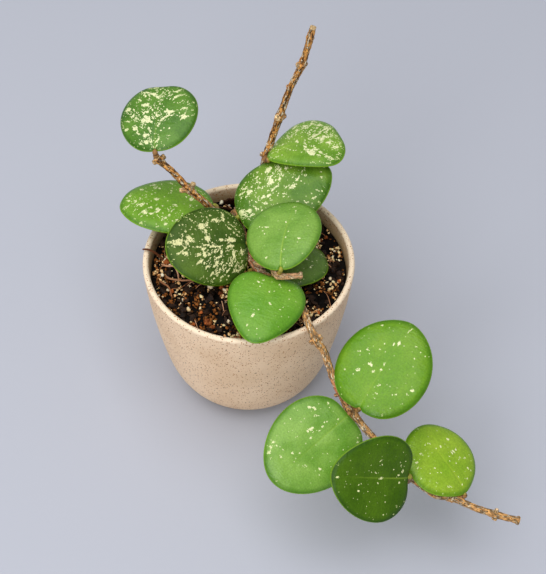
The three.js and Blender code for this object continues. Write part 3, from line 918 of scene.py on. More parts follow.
@dataclass
class PottingMix:
    """The bed of potting mix with its loose pieces, roots and curled flakes.

    Args:
        level: the height of the bed.
        reach: how far from the middle the loose pieces lie.
        cells: how many cells the bed has to a side.
        edge_drop: how far its edge lies below its level.
        edge_radius: its radius at the edge.
        inset: how far its hidden bowl lies inside the pot's outer skin.
        shapes: how many shapes each kind of grain has.
        fibre_count: how many dry fibres lie on it.
        kinds: its loose pieces.
    """

    level: float = 58.2
    reach: float = 36.6
    cells: int = 110
    edge_drop: float = 0.3
    edge_radius: float = 36.85
    inset: float = 2.6
    shapes: int = 7
    fibre_count: int = 70

    kinds: tuple[GrainKind, ...] = (
        GrainKind(Grain.CHIP, 700, 0.6, 1.7, (0.7, 0.55), 0.7, 0.0,
                  MixFinish("bark_chips", tone(3, 2, 1), tone(36, 22, 12), tone(78, 46, 22),
                            Shine(roughness=0.6, play=0.1, specular=0.22, relief=0.3, grain=0.5)), 11),
        GrainKind(Grain.CRUMB, 1700, 0.25, 0.8, (0.8, 0.7), 1.4, 0.2,
                  MixFinish("dark_crumbs", tone(5, 3, 2), tone(160, 92, 40), tone(196, 128, 62)), 23),
        GrainKind(Grain.STRAW, 1050, 0.28, 0.85, (0.75, 0.65), 2.4, 0.8,
                  MixFinish("golden_crumbs", tone(232, 146, 56), tone(255, 238, 176), tone(255, 248, 206)), 29),
        GrainKind(Grain.LUMP, 70, 0.7, 1.4, (0.85, 0.75), 1.0, 0.3,
                  MixFinish("rust_lumps", tone(92, 38, 16), tone(196, 100, 44), tone(216, 138, 76)), 31),
        GrainKind(Grain.PERLITE, 100, 0.45, 1.1, (0.8, 0.7), 1.6, 0.3,
                  MixFinish("perlite_grains", tone(232, 196, 130), tone(255, 246, 214), tone(255, 252, 240)), 47),
    )

    def relief(self, x: np.ndarray, y: np.ndarray) -> np.ndarray:
        """Gives how far the bed rises or falls at a place, as the part's source has it."""
        fade = 1 - np.minimum(np.hypot(x, y) / 37.7, 1) ** 4
        waves = np.sin(0.42 * x + 1.3) * np.cos(0.37 * y) + 0.6 * np.sin(0.8 * x - 0.7 * y)
        return 0.8 * fade * waves

    def bed(self) -> Piece:
        """Builds the closed bed: a rough top over a plain bowl that fills the pot."""
        piece, square, below = add_two_skins("mix_bed", self.cells)
        x = square[:, 0] * np.sqrt(1 - square[:, 1] ** 2 / 2)
        y = square[:, 1] * np.sqrt(1 - square[:, 0] ** 2 / 2)
        share = np.minimum(np.hypot(x, y), 1)
        edge = self.level - self.edge_drop
        pot = Pot()
        line = [(r - self.inset, z) for r, z in pot.wall_line(0, pot.outer_steps) if z < edge - 1]
        radii = np.array([0, *[r for r, _ in line], self.edge_radius])
        heights = np.array([self.inset, *[max(z, self.inset) for _, z in line], edge])
        travelled = np.concatenate([[0], np.cumsum(np.hypot(np.diff(radii), np.diff(heights)))])
        travelled /= travelled[-1]
        radius = np.where(below, np.interp(share, travelled, radii), share * self.edge_radius)
        turn = np.arctan2(y, x)
        points = np.stack([radius * np.cos(turn), radius * np.sin(turn), np.interp(share, travelled, heights)], 1)
        top = ~below
        rough = roughness_at(points[top], 3.2, 4.0, 4)
        fade = 1 - share[top] ** 8
        relief = self.relief(points[top, 0], points[top, 1])
        points[top, 2] = edge + (self.level - edge - 0.5 + relief + 0.75 * rough) * fade
        place(piece, points)
        paint(piece, "shade", np.clip(0.35 + 0.5 * roughness_at(points, 2.0, 9.0, 2), 0, 1))
        close_seams(piece)
        bed_finish = MixFinish("bed_crust", tone(3, 2, 1), tone(18, 11, 7), tone(14, 8, 5))
        piece.data.materials.append(bed_finish.build())
        return piece

    def prototype(self, kind: GrainKind, number: int) -> tuple[np.ndarray, list[tuple[int, ...]]]:
        """Models one loose piece and reads its mesh.

        Args:
            kind: which kind of grain.
            number: which of its prototypes.

        Returns:
            Its points, about 1 across, and its faces.
        """
        rest_selection()
        if kind.kind is Grain.CHIP:
            bpy.ops.mesh.primitive_cube_add(size=1.7)
            bpy.ops.object.mode_set(mode="EDIT")
            bpy.ops.mesh.subdivide(number_cuts=1)
            bpy.ops.object.mode_set(mode="OBJECT")
        else:
            fine = 1 if kind.kind in (Grain.CRUMB, Grain.STRAW) else 2
            bpy.ops.mesh.primitive_ico_sphere_add(subdivisions=fine, radius=1)
        model = bpy.context.active_object
        points = points_of(model)
        faces = [tuple(face.vertices) for face in model.data.polygons]
        bpy.data.objects.remove(model)
        unit = points / np.linalg.norm(points, axis=1)[:, None]
        lumps = roughness_at(unit, 0.8, kind.seed + 3.1 * number, 2)
        amount = 0.7 if kind.kind is not Grain.PERLITE else 0.5
        return points * (1 + amount * lumps)[:, None], faces

    def scatter(self, kind: GrainKind) -> Piece:
        """Strews one kind of grain over the bed.

        Args:
            kind: the kind of grain.

        Returns:
            One mesh object with all its pieces.
        """
        draw = np.random.default_rng(kind.seed)
        models = [self.prototype(kind, number) for number in range(self.shapes)]
        points, faces, shades = [], [], []
        total = 0
        while len(points) < kind.count:
            model, model_faces = models[draw.integers(len(models))]
            radius = kind.least + (kind.most - kind.least) * draw.random() ** 1.8
            reach = (self.reach - radius * 0.6) * math.sqrt(draw.random())
            turn = 2 * math.pi * draw.random()
            x, y = reach * math.cos(turn), reach * math.sin(turn)
            drift = noise.fractal(Vector((x, y, kind.seed)) / 6, 1.0, 2.0, 2)
            if drift < kind.gather * draw.uniform(-0.1, 0.5) - 0.2 * (kind.gather == 0):
                continue
            tilt = Quaternion(Vector(draw.normal(size=3)).normalized(), draw.random() * 0.9)
            spin = Quaternion((0, 0, 1), 2 * math.pi * draw.random())
            turned = np.array((tilt @ spin).to_matrix())
            sized = model * radius * np.array([1, kind.flat[0], kind.flat[1]])
            height = self.level - 0.5 + float(self.relief(np.array(x), np.array(y)))
            at = np.array([x, y, height + kind.lift * radius * (0.2 + draw.random())])
            points.append(sized @ turned.T + at)
            faces.extend(tuple(total + i for i in face) for face in model_faces)
            shades.append(np.full(len(model), draw.random() ** 1.4))
            total += len(model)
        mesh = bpy.data.meshes.new(kind.kind.value)
        mesh.from_pydata(np.concatenate(points) * MM, [], faces)
        mesh.update()
        piece = bpy.data.objects.new(kind.kind.value, mesh)
        bpy.context.scene.collection.objects.link(piece)
        paint(piece, "shade", np.concatenate(shades))
        if kind.kind in (Grain.PERLITE, Grain.LUMP):
            take(piece)
            bpy.ops.object.shade_smooth()
        piece.data.materials.append(kind.finish.build())
        return piece

    def fibres(self) -> Piece:
        """Lays thin dry fibres, and three larger loops of pale root, on the bed."""
        draw = np.random.default_rng(5)
        strands = []
        loops = [
            [(-31.5, -3.5, 58), (-29.6, -6.5, 60), (-25.5, -7.8, 60.6), (-21, -7.6, 60.4), (-17.5, -6.8, 58.4)],
            [(-33, 2.2, 58), (-31, -0.4, 60.2), (-28.3, -1.2, 60.9), (-26.8, -3.9, 60.2), (-26.4, -6.8, 58)],
            [(-33.6, -6, 58.2), (-32.4, -8.6, 60), (-30, -11, 60.4), (-28.8, -14, 58.6)],
        ]
        for number, loop in enumerate(loops):
            line = curve_through(loop, 0.5)
            strands.append(Tube(line, np.linspace(0.42, 0.3, len(line)), 8, number).build("root_loop"))
        for number in range(self.fibre_count):
            reach = (self.reach - 3) * math.sqrt(draw.random())
            turn = 2 * math.pi * draw.random()
            middle = np.array([reach * math.cos(turn), reach * math.sin(turn)])
            lean = draw.random() * 2 * math.pi
            half = draw.uniform(1.5, 4.0)
            ahead = np.array([math.cos(lean), math.sin(lean)]) * half
            aside = np.array([-ahead[1], ahead[0]]) * draw.uniform(-0.5, 0.5)
            ground = self.level + float(self.relief(middle[0], middle[1]))
            line = curve_through([
                (*(middle - ahead), ground + 0.2),
                (*(middle + aside * 0.6), ground + draw.uniform(0.9, 1.9)),
                (*(middle + ahead + aside), ground + draw.uniform(0.0, 0.9)),
            ], 0.9)
            strands.append(Tube(line, np.linspace(0.2, 0.1, len(line)), 5, number).build("fibre"))
        shade = 0
        for strand in strands:
            shade = (shade + 0.37) % 1
            paint(strand, "shade", np.full(len(strand.data.vertices), shade))
        piece = join(strands, "dry_fibres")
        finish = MixFinish("dry_fibres", tone(120, 66, 34), tone(226, 178, 140), tone(200, 140, 96))
        piece.data.materials.append(finish.build())
        return piece

    def flakes(self) -> Piece:
        """Stands curled flakes of bark in the back of the pot and lays the dry root over the left rim."""
        flakes = []
        places = [((-12, 29.5, 59.2), 25, 25, 8), ((-0.5, 31.5, 59.4), -5, -20, 8), ((-16.5, 24, 58.8), 60, 35, 8),
                  ((-7.5, 33.5, 59.4), 8, 12, 5.5)]
        for number, (at, turn, lean, length) in enumerate(places):
            flake = add_grid("curled_flake", 22, 10, 1.0)
            flat = points_of(flake)
            x, z = flat[:, 0] * length, flat[:, 1] * 4.6
            ragged = 1 + 0.18 * np.sin(3.1 * x + number) * (flat[:, 1] > 0)
            curl = -0.16 * x**2 * (0.6 + 0.1 * z)
            points = np.stack([x, curl, z * ragged], 1)
            points[:, 1] += 0.25 * roughness_at(points, 1.6, number, 2)
            spin = Matrix.Rotation(math.radians(turn), 3, "Z") @ Matrix.Rotation(math.radians(lean), 3, "X")
            place(flake, points @ np.array(spin).T + np.array(at))
            modifier = flake.modifiers.new("thickness", "SOLIDIFY")
            modifier.thickness = 0.7 * MM
            modifier.offset = 0
            bpy.ops.object.modifier_apply(modifier="thickness")
            bpy.ops.object.shade_smooth()
            paint(flake, "shade", np.full(len(flake.data.vertices), 0.25 * (number % 3)))
            flakes.append(flake)
        path = [(-30.5, 3, 56), (-33, 3.4, 60), (-36, 3.6, 63.6), (-38.4, 3.7, 65), (-40.2, 3.8, 64.9)]
        line = curve_through(path, 0.4)
        wobble = 1 + 0.18 * roughness_at(line, 1.5, 2.0, 2)
        root = Tube(line, np.linspace(0.6, 0.35, len(line)) * wobble, 10, 3.0).build("rim_root")
        paint(root, "shade", np.full(len(root.data.vertices), 0.5))
        piece = join([*flakes, root], "curled_flakes")
        dress(piece, MixFinish("curled_bark", tone(44, 24, 14), tone(128, 74, 42), tone(98, 56, 32)).build())
        return piece

    def build(self) -> None:
        """Builds every piece of the mix in place of the soil node."""
        pieces = [self.bed(), *[self.scatter(kind) for kind in self.kinds], self.fibres(), self.flakes()]
        for piece in pieces:
            finish_piece(piece, "soil")


# The stems


class Knob(Enum):
    """What a short side piece on a stem is."""

    BUD = "bud"
    STUB = "stub"
    SCAR = "scar"


@dataclass(frozen=True)
class KnobSpec:
    """A bud, the stub of a lost twig or a leaf scar on a stem."""

    kind: Knob
    at: Point
    toward: Point
    radius: float
    length: float


@dataclass(frozen=True)
class Swelling:
    """A node of a stem, where it thickens."""

    at: Point
    swell: float
    width: float


@dataclass
class WoodyStem:
    """A woody stem with its nodes, buds, stubs and scars.

    Args:
        node: the CAD node that it stands for.
        path: the points that it passes through.
        radius: its radius at the foot and at the end.
        swellings: its nodes.
        knobs: its buds, stubs and scars.
        red: places where the bark is young and reddish, some of them also darkened as painted shade: a point and a
            width.
        branch: a short side branch, if it has one.
        young: how far its bark is the light tan of young wood, from 0 to 1.
        seed: shifts its bark.
    """

    node: str
    path: list[Point]
    radius: tuple[float, float]
    swellings: list[Swelling]
    knobs: list[KnobSpec]
    red: tuple[tuple[Point, float], ...] = ()
    branch: "WoodyStem | None" = None
    young: float = 0.0
    seed: float = 0.0
    sides: int = 22
    step: float = 0.32

    def shaft(self) -> Piece:
        """Builds the stem itself, with rough bark and a cut end."""
        line = curve_through(self.path, self.step)
        share = np.linspace(0, 1, len(line))
        radius = self.radius[0] + (self.radius[1] - self.radius[0]) * share
        ridge = np.zeros(len(line))
        for swelling in self.swellings:
            away = np.linalg.norm(line - np.array(swelling.at), axis=1)
            radius = radius + swelling.swell * bump_at(away, swelling.width)
            if swelling.swell > 0:
                ridge += 0.16 * np.cos(away * 3.2) * bump_at(away, 1.6)
        along = share * self.step * (len(line) - 1)
        turn = np.arange(self.sides) * 2 * math.pi / self.sides
        wave = 0.05 * np.sin(3 * turn[None, :] + 0.8 * along[:, None]) * np.sin(1.9 * along[:, None])
        radii = (radius[:, None]) * (1 + wave)
        around = np.stack([
            np.repeat(np.cos(turn)[None, :] * 1.4, len(line), 0),
            np.repeat(np.sin(turn)[None, :] * 1.4, len(line), 0),
            np.repeat(along[:, None] * 0.4, self.sides, 1),
        ], axis=2).reshape(-1, 3)
        rough = roughness_at(around, 0.8, self.seed, 3).reshape(len(line), self.sides)
        radii = radii + 0.15 * rough + ridge[:, None]
        line, radii, cut = self.with_ends(line, radii)
        piece = Tube(line, radii, self.sides, self.seed).build(f"{self.node}_shaft")
        points = points_of(piece) / MM
        end = np.linalg.norm(points - line[-1], axis=1) < cut
        paint(piece, "cut", end.astype(float))
        paint(piece, "tan", np.full(len(points), self.young))
        red = np.zeros(len(points))
        for at, width in self.red:
            red = np.maximum(red, bump_at(np.linalg.norm(points - np.array(at), axis=1), width))
        paint(piece, "red", red)
        return piece

    @staticmethod
    def with_ends(line: np.ndarray, radii: np.ndarray) -> tuple[np.ndarray, np.ndarray, float]:
        """Closes both ends with a slightly hollow face.

        Args:
            line: the middle line.
            radii: the radii along it.

        Returns:
            The longer line and radii, and the reach of the cut face from the end.
        """
        first, last = line[0], line[-1]
        back = (line[-2] - last) / np.linalg.norm(line[-2] - last)
        line = np.vstack([first, first, line, last + 0.08 * back, last + 0.14 * back, last + 0.16 * back])
        ends = [0 * radii[0], 0.6 * radii[0]]
        tips = [0.86 * radii[-1], 0.5 * radii[-1], 0 * radii[-1]]
        radii[-1] = radii[-1] * 0.96
        return line, np.vstack([*ends, radii, *tips]), float(radii[-1].max()) * 1.02

    def side_piece(self, knob: KnobSpec, number: int) -> Piece:
        """Builds one bud, stub or scar.

        Args:
            knob: what it is and where.
            number: its place in the list, which shifts its bark.

        Returns:
            The mesh object.
        """
        start = np.array(knob.at)
        way = np.array(knob.toward) / np.linalg.norm(knob.toward)
        profiles = {
            Knob.BUD: [(0, 1.2), (0.3, 1.0), (0.5, 1.05), (0.7, 1.12), (0.86, 0.92), (0.96, 0.55), (1, 0)],
            Knob.STUB: [(0, 1.4), (0.35, 1.05), (0.6, 0.95), (0.8, 0.97), (0.97, 0.9), (1, 0.78), (0.95, 0.4),
                        (0.94, 0)],
            Knob.SCAR: [(0, 1.3), (0.4, 1.1), (0.7, 1.12), (0.9, 1.1), (1, 0.92), (0.97, 0.7), (0.9, 0.45), (0.9, 0)],
        }
        profile = profiles[knob.kind]
        line = np.array([start + way * knob.length * share for share, _ in profile])
        spread = np.array([factor * knob.radius for _, factor in profile])
        turn = np.arange(14) * 2 * math.pi / 14
        uneven = 1 + 0.1 * np.sin(2 * turn + number)[None, :] + 0.06 * np.sin(5 * turn + 2 * number)[None, :]
        ringed = 1 + 0.07 * np.cos(9 * np.array([share for share, _ in profile]))[:, None]
        piece = Tube(line, spread[:, None] * uneven * ringed, 14, self.seed + number, way).build(f"{self.node}_knob")
        points = points_of(piece) / MM
        points += 0.16 * np.stack([roughness_at(points, 1.1, self.seed + shift, 2) for shift in (1, 5, 9)], 1)
        place(piece, points)
        out = (points - start) @ way
        pale = out > knob.length * (0.8 if knob.kind is not Knob.BUD else 2)
        paint(piece, "tan", np.full(len(points), max(self.young, 0.35)))
        paint(piece, "cut", pale * (1.0 if knob.kind is Knob.STUB else 0.35))
        paint(piece, "red", np.full(len(points), 0.35 if knob.kind is Knob.BUD else 0.0))
        return piece

    def pieces(self) -> list[Piece]:
        """Builds the shaft, its knobs and its side branch."""
        knobs = [self.side_piece(knob, number) for number, knob in enumerate(self.knobs)]
        branch = self.branch.pieces() if self.branch else []
        return [self.shaft(), *knobs, *branch]

    def build(self, bark: Material) -> None:
        """Builds the whole stem and dresses it.

        Args:
            bark: the material of all stems.
        """
        piece = join(self.pieces(), f"woody_{self.node}")
        dress(piece, bark)
        finish_piece(piece, self.node)


# The leaves


@dataclass
class Leaf:
    """A thick round leaf on its short stalk.

    Args:
        name: the CAD node that it stands for.
        node: where the stalk leaves the stem.
        base: where the blade starts.
        heading: which way it points, in degrees.
        pitch: how far it climbs, in degrees.
        roll: how far it leans about its midrib, in degrees.
        length: the blade's length.
        width: the blade's width.
        narrowing: the share by which it narrows towards the tip.
        notch: the depth of the notch at the base.
        tip: the length of the drawn-out tip.
        look: its colours and marks.
        fold: how steeply its halves rise from the midrib.
        nick: the depth of the slit in which the stalk sits.
        brown: how far the bark's brown runs up the stalk, from 0 to 1.
        stout: the stalk's thickness, as a share of the usual one.
    """

    name: str
    node: Point
    base: Point
    heading: float
    pitch: float
    roll: float
    length: float
    width: float
    narrowing: float
    notch: float
    tip: float
    look: LeafLook
    fold: float = 0.0
    nick: float = 0.0
    brown: float = 0.0
    stout: float = 1.0

    thickness: float = 1.9
    dome: float = 1.2
    curl: float = 1.0
    cells: int = 88

    def axes(self) -> tuple[np.ndarray, np.ndarray, np.ndarray]:
        """Gives the directions along the midrib, to its left and out of the upper face."""
        turn, climb, lean = (math.radians(angle) for angle in (self.heading, self.pitch, self.roll))
        along = Vector((math.cos(climb) * math.cos(turn), math.cos(climb) * math.sin(turn), math.sin(climb)))
        left = Quaternion(along, lean) @ Vector((-math.sin(turn), math.cos(turn), 0))
        return np.array(along), np.array(left), np.array(along.cross(left))

    def flat_place(self, angle: np.ndarray, share: np.ndarray) -> tuple[np.ndarray, np.ndarray]:
        """Gives the place on the flattened blade.

        Args:
            angle: the direction from the middle, 0 at the tip.
            share: how far it is to the edge, from 0 to 1.

        Returns:
            The distance along the midrib and to its left.
        """
        back = math.pi - np.abs(angle)
        notch = self.notch * bump_at(back, 0.35) + self.nick * bump_at(back, 0.06) * share**9
        tip = self.tip * bump_at(angle, 0.3)
        u = self.length / 2 * (1 + share * np.cos(angle)) + share**3 * (notch + tip)
        v = self.width / 2 * share * np.sin(angle) * (1 - self.narrowing * np.cos(angle))
        return u, v

    def height(self, u: np.ndarray, v: np.ndarray) -> np.ndarray:
        """Gives how far the middle of the blade lies above the flat, as the part's source has it."""
        fold = self.fold * (np.hypot(v, 2) - 2)
        dome = self.dome * (v / (self.width / 2)) ** 2
        curl = self.curl * ((u - self.length / 2) / (self.length / 2)) ** 2 - self.curl
        return fold - dome - curl

    def set_out(self, u: np.ndarray, v: np.ndarray, out: np.ndarray) -> np.ndarray:
        """Turns places on the blade into places in the frame."""
        along, left, up = self.axes()
        return np.array(self.base) + u[:, None] * along + v[:, None] * left + out[:, None] * up

    def blade(self) -> Piece:
        """Builds the blade: two skins that meet in a rounded edge."""
        piece, square, under = add_two_skins(f"{self.name}_blade", self.cells)
        a, b = square[:, 0], square[:, 1] * (0.62 + 0.38 * square[:, 1] ** 2)
        x, y = a * np.sqrt(1 - b**2 / 2), b * np.sqrt(1 - a**2 / 2)
        radius = np.minimum(np.hypot(x, y), 1)
        share = radius * (1.3 - 0.3 * radius**2)
        angle = np.arctan2(y, x)
        u, v = self.flat_place(angle, share)
        fullness = np.sqrt(np.maximum(1 - share**5, 0))
        seed = self.look.seed
        flat = np.stack([u, v, np.zeros(len(u))], 1)
        waves = 0.35 * roughness_at(flat, 14, seed, 1) + 0.12 * roughness_at(flat, 4.5, seed + 3, 1)
        ripple = 0.25 * share**4 * np.sin(4 * angle + 1.7 * seed) * np.cos(angle * 0.5)
        reach = u / self.length
        beside = v - self.look.bend * reach**2 * self.width / 2
        running = np.clip(1.12 - 1.25 * reach, 0, 1) * np.clip(u / 1.5, 0, 1)
        ridge = (0.3 + 0.7 * self.look.rib) * running * (1 - share**8)
        groove = np.where(under, -0.42 * bump_at(beside, 0.8), -0.28 * bump_at(beside, 0.45)) * ridge
        turned_down = 0.2 - 0.75 * share**8
        out = self.height(u, v) + waves + ripple + groove + turned_down
        out += np.where(under, -1, 1) * fullness * self.thickness / 2
        place(piece, self.set_out(u, v, out))
        paint(piece, "blade", flat)
        paint(piece, "under", under * np.clip((0.97 - share) / 0.12, 0, 1))
        paint(piece, "rim", share)
        paint(piece, "vein", self.look.rib * bump_at(beside, 0.24) * running)
        paint(piece, "splash", self.splash_density(u, v))
        close_seams(piece)
        return piece

    def splash_density(self, u: np.ndarray, v: np.ndarray) -> np.ndarray:
        """Gives how thickly the splashes lie at places on the blade.

        Args:
            u: the distances along the midrib.
            v: the distances to its left.

        Returns:
            The density at each place: at 0 there are none, and near 1 they cover almost all of it.
        """
        density = np.full(len(u), self.look.density)
        for along, across, size, change in self.look.patches:
            away = np.hypot(u / self.length - along, (v / self.width * 2 - across) / 2)
            density += change * bump_at(away, size)
        for along, across, reach, breadth, *turn in self.look.marks:
            ahead, aside = u - along * self.length, v - across * self.width / 2
            angle = math.radians(*turn) if turn else 0.0
            cos, sin = math.cos(angle), math.sin(angle)
            away = np.hypot((ahead * cos + aside * sin) / reach, (aside * cos - ahead * sin) / breadth)
            density += 1.2 * np.exp(-1.6 * away**3)
        return np.clip(density, 0, 0.95)

    def stalk(self) -> Piece:
        """Builds the short stalk from the stem's node to inside the blade's base."""
        along, _, up = self.axes()
        u, v = self.flat_place(np.array([math.pi]), np.array([1.0]))
        notch = self.set_out(u, v, self.height(u, v))[0]
        path = [self.node, tuple(notch - 0.8 * along - 0.95 * up), tuple(notch + 0.5 * along - 0.9 * up),
                tuple(notch + 2.2 * along - 0.45 * up)]
        line = curve_through(path, 0.25)
        share = np.linspace(0, 1, len(line))
        rings = 1 + 0.16 * bump_at(share, 0.2) + 0.12 * self.brown * np.cos(26 * share)
        radius = self.stout * (0.95 + 0.2 * self.brown - 0.25 * share) * rings
        radius[-4:] *= np.array([0.95, 0.8, 0.5, 0.0])
        radius[0] = 0
        piece = Tube(line, radius, 14, self.look.seed).build(f"{self.name}_stalk")
        places = points_of(piece) / MM
        nearest = np.argmin(np.linalg.norm(places[:, None, :] - line[None, :, :], axis=2), axis=1)
        woody = 0.6 * self.brown
        paint(piece, "reach", np.clip((share[nearest] - woody) / (1 - woody), 0, 1))
        return piece

    def build(self, stalk_skin: Material) -> None:
        """Builds the leaf and dresses it.

        Args:
            stalk_skin: the material of all stalks.
        """
        blade, stalk = self.blade(), self.stalk()
        dress(blade, self.look.build(self.name))
        dress(stalk, stalk_skin)
        piece = join([blade, stalk], f"splashed_{self.name}")
        finish_piece(piece, self.name)


# The plant

LEFT_STEM = WoodyStem(
    node="left_stem",
    path=[(-7, 15, 30), (-8.5, 16.5, 56), (-10.5, 18, 66), (-14.5, 18.7, 72), (-22.4, 20.5, 80),
          (-28.8, 24, 86), (-34, 26.2, 90.4), (-35, 26.7, 91.4)],
    radius=(1.55, 1.2),
    swellings=[Swelling((-22.4, 20.5, 80), 0.4, 1.8), Swelling((-33.9, 26.2, 90.3), 0.4, 1.6)],
    knobs=[
        KnobSpec(Knob.STUB, (-22.2, 20.4, 80), (0.35, 0.2, 1), 1.15, 3.6),
        KnobSpec(Knob.STUB, (-22.4, 20.5, 80), (-1, -0.15, 0.1), 1.0, 4),
        KnobSpec(Knob.SCAR, (-33.9, 26.2, 90.3), (-1, -0.5, -0.2), 0.8, 2.6),
        KnobSpec(Knob.SCAR, (-33.9, 26.2, 90.3), (1, 0.5, 0.6), 0.8, 2.8),
    ],
    seed=1.0,
)

BACK_STEM = WoodyStem(
    node="back_stem",
    path=[(-1, 18, 30), (1.2, 22.9, 56), (4.4, 32.5, 71.3), (6.4, 35.9, 82.4), (11.3, 40.3, 99.5),
          (15.1, 42.3, 112.6), (19.1, 44, 122.6), (22.8, 46.7, 138.7)],
    radius=(1.6, 1.2),
    swellings=[
        Swelling((6.6, 36, 83.3), 0.35, 1.8),
        Swelling((11.3, 40.3, 99.5), 0.5, 2),
        Swelling((19.1, 44, 122.6), 0.4, 2),
        Swelling((21.5, 45.9, 134.2), 0.3, 1.6),
    ],
    knobs=[
        KnobSpec(Knob.BUD, (6.4, 35.9, 82.8), (-1, 0.1, 0.5), 0.8, 2.7),
        KnobSpec(Knob.STUB, (11.3, 40.3, 99.5), (-0.4, -0.8, 0.5), 1.25, 2.4),
        KnobSpec(Knob.BUD, (11.3, 40.3, 99.5), (1, 0.2, 0.1), 0.9, 2.7),
        KnobSpec(Knob.BUD, (15.3, 42.4, 113), (-1, 0, 0.2), 0.6, 1.9),
        KnobSpec(Knob.SCAR, (19.1, 44, 122.6), (-1, -0.4, 0.2), 0.9, 2.2),
        KnobSpec(Knob.BUD, (19.1, 44, 122.6), (1, 0.2, 0.2), 0.8, 2.3),
    ],
    seed=2.0,
)

SIDE_BRANCH = WoodyStem(
    node="side_branch",
    path=[(1.5, -4.4, 66.8), (5, -8, 70.4), (8.4, -12.2, 74), (10.6, -17.4, 75.2), (15, -17.8, 75.2),
          (19.7, -17.4, 75.3)],
    radius=(1.35, 1.1),
    swellings=[Swelling((10.6, -17.4, 75.2), 0.25, 1.8), Swelling((18.9, -17.4, 75.3), 0.2, 0.8)],
    knobs=[],
    red=(((15.5, -17.7, 75.2), 9),),
    young=0.7,
    seed=4.0,
)

TRAILING_STEM = WoodyStem(
    node="trailing_stem",
    path=[(-6, 30, 32), (-6.2, 28.5, 56), (-5.4, 24.6, 62.8), (-3.6, 18.1, 66), (-1.1, 3.9, 66.5),
          (3.1, -7.4, 67.4), (9.4, -13.2, 67), (15.6, -17.8, 66.2), (19.9, -25.2, 65.7), (21.7, -31.9, 65.8),
          (24.6, -38.2, 63.5), (27.4, -40.8, 60.5), (29.6, -45, 56), (31, -48.2, 53), (33, -52.2, 50.5),
          (36.9, -57.2, 47.5), (40.9, -61.9, 45), (44.6, -66.1, 43.5), (51.4, -72.8, 40), (58.9, -79.5, 36.5),
          (67.9, -84.9, 33), (74, -84.8, 31), (81.3, -88, 30), (89.3, -90.5, 29), (98, -92.6, 28)],
    radius=(1.5, 1.2),
    swellings=[
        Swelling((-3.6, 18.1, 66), 0.35, 2),
        Swelling((-1.1, 3.9, 66.5), 0.35, 2),
        Swelling((24.6, -38.2, 63.5), 0.55, 2.4),
        Swelling((33, -52.2, 50.5), -0.3, 5),
        Swelling((37.2, -57.6, 47.3), 0.95, 3),
        Swelling((58.9, -79.5, 36.5), 0.4, 2),
        Swelling((74, -84.8, 31), 0.4, 2),
        Swelling((89.3, -90.5, 29), 0.35, 1.8),
        Swelling((97.4, -92.5, 28.1), 0.3, 1.2),
    ],
    knobs=[
        KnobSpec(Knob.BUD, (24.6, -38.2, 63.5), (-0.9, -0.5, 0), 0.9, 3.1),
        KnobSpec(Knob.SCAR, (24.6, -38.2, 63.5), (0.9, 0.5, 0.4), 0.9, 2.6),
        KnobSpec(Knob.BUD, (33.2, -52.8, 50.2), (-1, -0.4, 0), 0.6, 2),
        KnobSpec(Knob.SCAR, (89.3, -90.5, 29), (0.1, 0.3, 1), 0.8, 2.3),
        KnobSpec(Knob.SCAR, (89.3, -90.5, 29), (-0.2, -0.6, -1), 0.8, 2.2),
    ],
    # The wide second patch is reddish bark and also painted shade: it darkens the stem where it runs under the middle
    # leaves.
    red=(((32.5, -51.5, 51), 5.5), ((1, -2, 67), 11)),
    branch=SIDE_BRANCH,
    young=0.25,
    seed=3.0,
)

DULL = Shine(roughness=0.38, play=0.05, specular=0.15, relief=0.13, grain=0.6)

LOOK_LEFT_HIGH = LeafLook(
    tone(94, 136, 46), tone(58, 104, 24), 0.42, seed=1.0, rib=0.3,
    marks=(
        (0.45, 0.28, 1.6, 2.0), (0.33, 0.53, 1.2, 1.3), (0.27, 0.45, 1.1, 0.5, 25), (0.34, 0.78, 0.6, 1.0),
        (0.45, 0.74, 0.5, 1.3), (0.46, 0.55, 0.6, 0.8), (0.52, 0.62, 1.4, 0.5, -36), (0.63, 0.78, 1.1, 1.2),
        (0.66, 0.33, 0.8, 1.4), (0.66, 0.09, 0.6, 0.5), (0.55, 0.27, 0.4, 0.9), (0.5, 0.0, 1.1, 0.45, 15),
        (0.4, 0.15, 0.5, 1.0), (0.53, -0.33, 0.5, 2.1), (0.56, -0.25, 0.6, 0.5), (0.46, -0.23, 2.7, 0.5, -50),
        (0.36, -0.08, 0.8, 0.45, -50), (0.3, -0.35, 0.5, 0.5), (0.2, -0.35, 0.45, 0.8), (0.46, -0.68, 0.9, 1.0),
        (0.58, -0.67, 0.5, 0.8), (0.68, -0.63, 0.5, 0.6), (0.68, -0.74, 0.45, 0.6), (0.87, -0.5, 1.8, 0.5, -55),
        (0.77, -0.5, 2.4, 0.5, -61), (0.76, -0.02, 0.6, 1.6), (0.82, 0.18, 1.2, 0.45, 75), (0.85, 0.35, 1.3, 0.45, 75),
        (0.74, 0.5, 1.2, 0.4, 70), (0.93, 0.2, 0.6, 2.4), (0.22, 0.24, 0.7, 1.4), (0.13, 0.35, 0.8, 1.0),
        (0.13, 0.22, 0.8, 1.0), (0.16, 0.1, 1.3, 0.45, 30), (0.15, -0.08, 1.5, 0.45, -41),
    ),
    patches=((0.22, -0.6, 0.16, -0.6), (0.85, -0.1, 0.16, 0.16), (0.2, 0.75, 0.12, -0.4)),
)

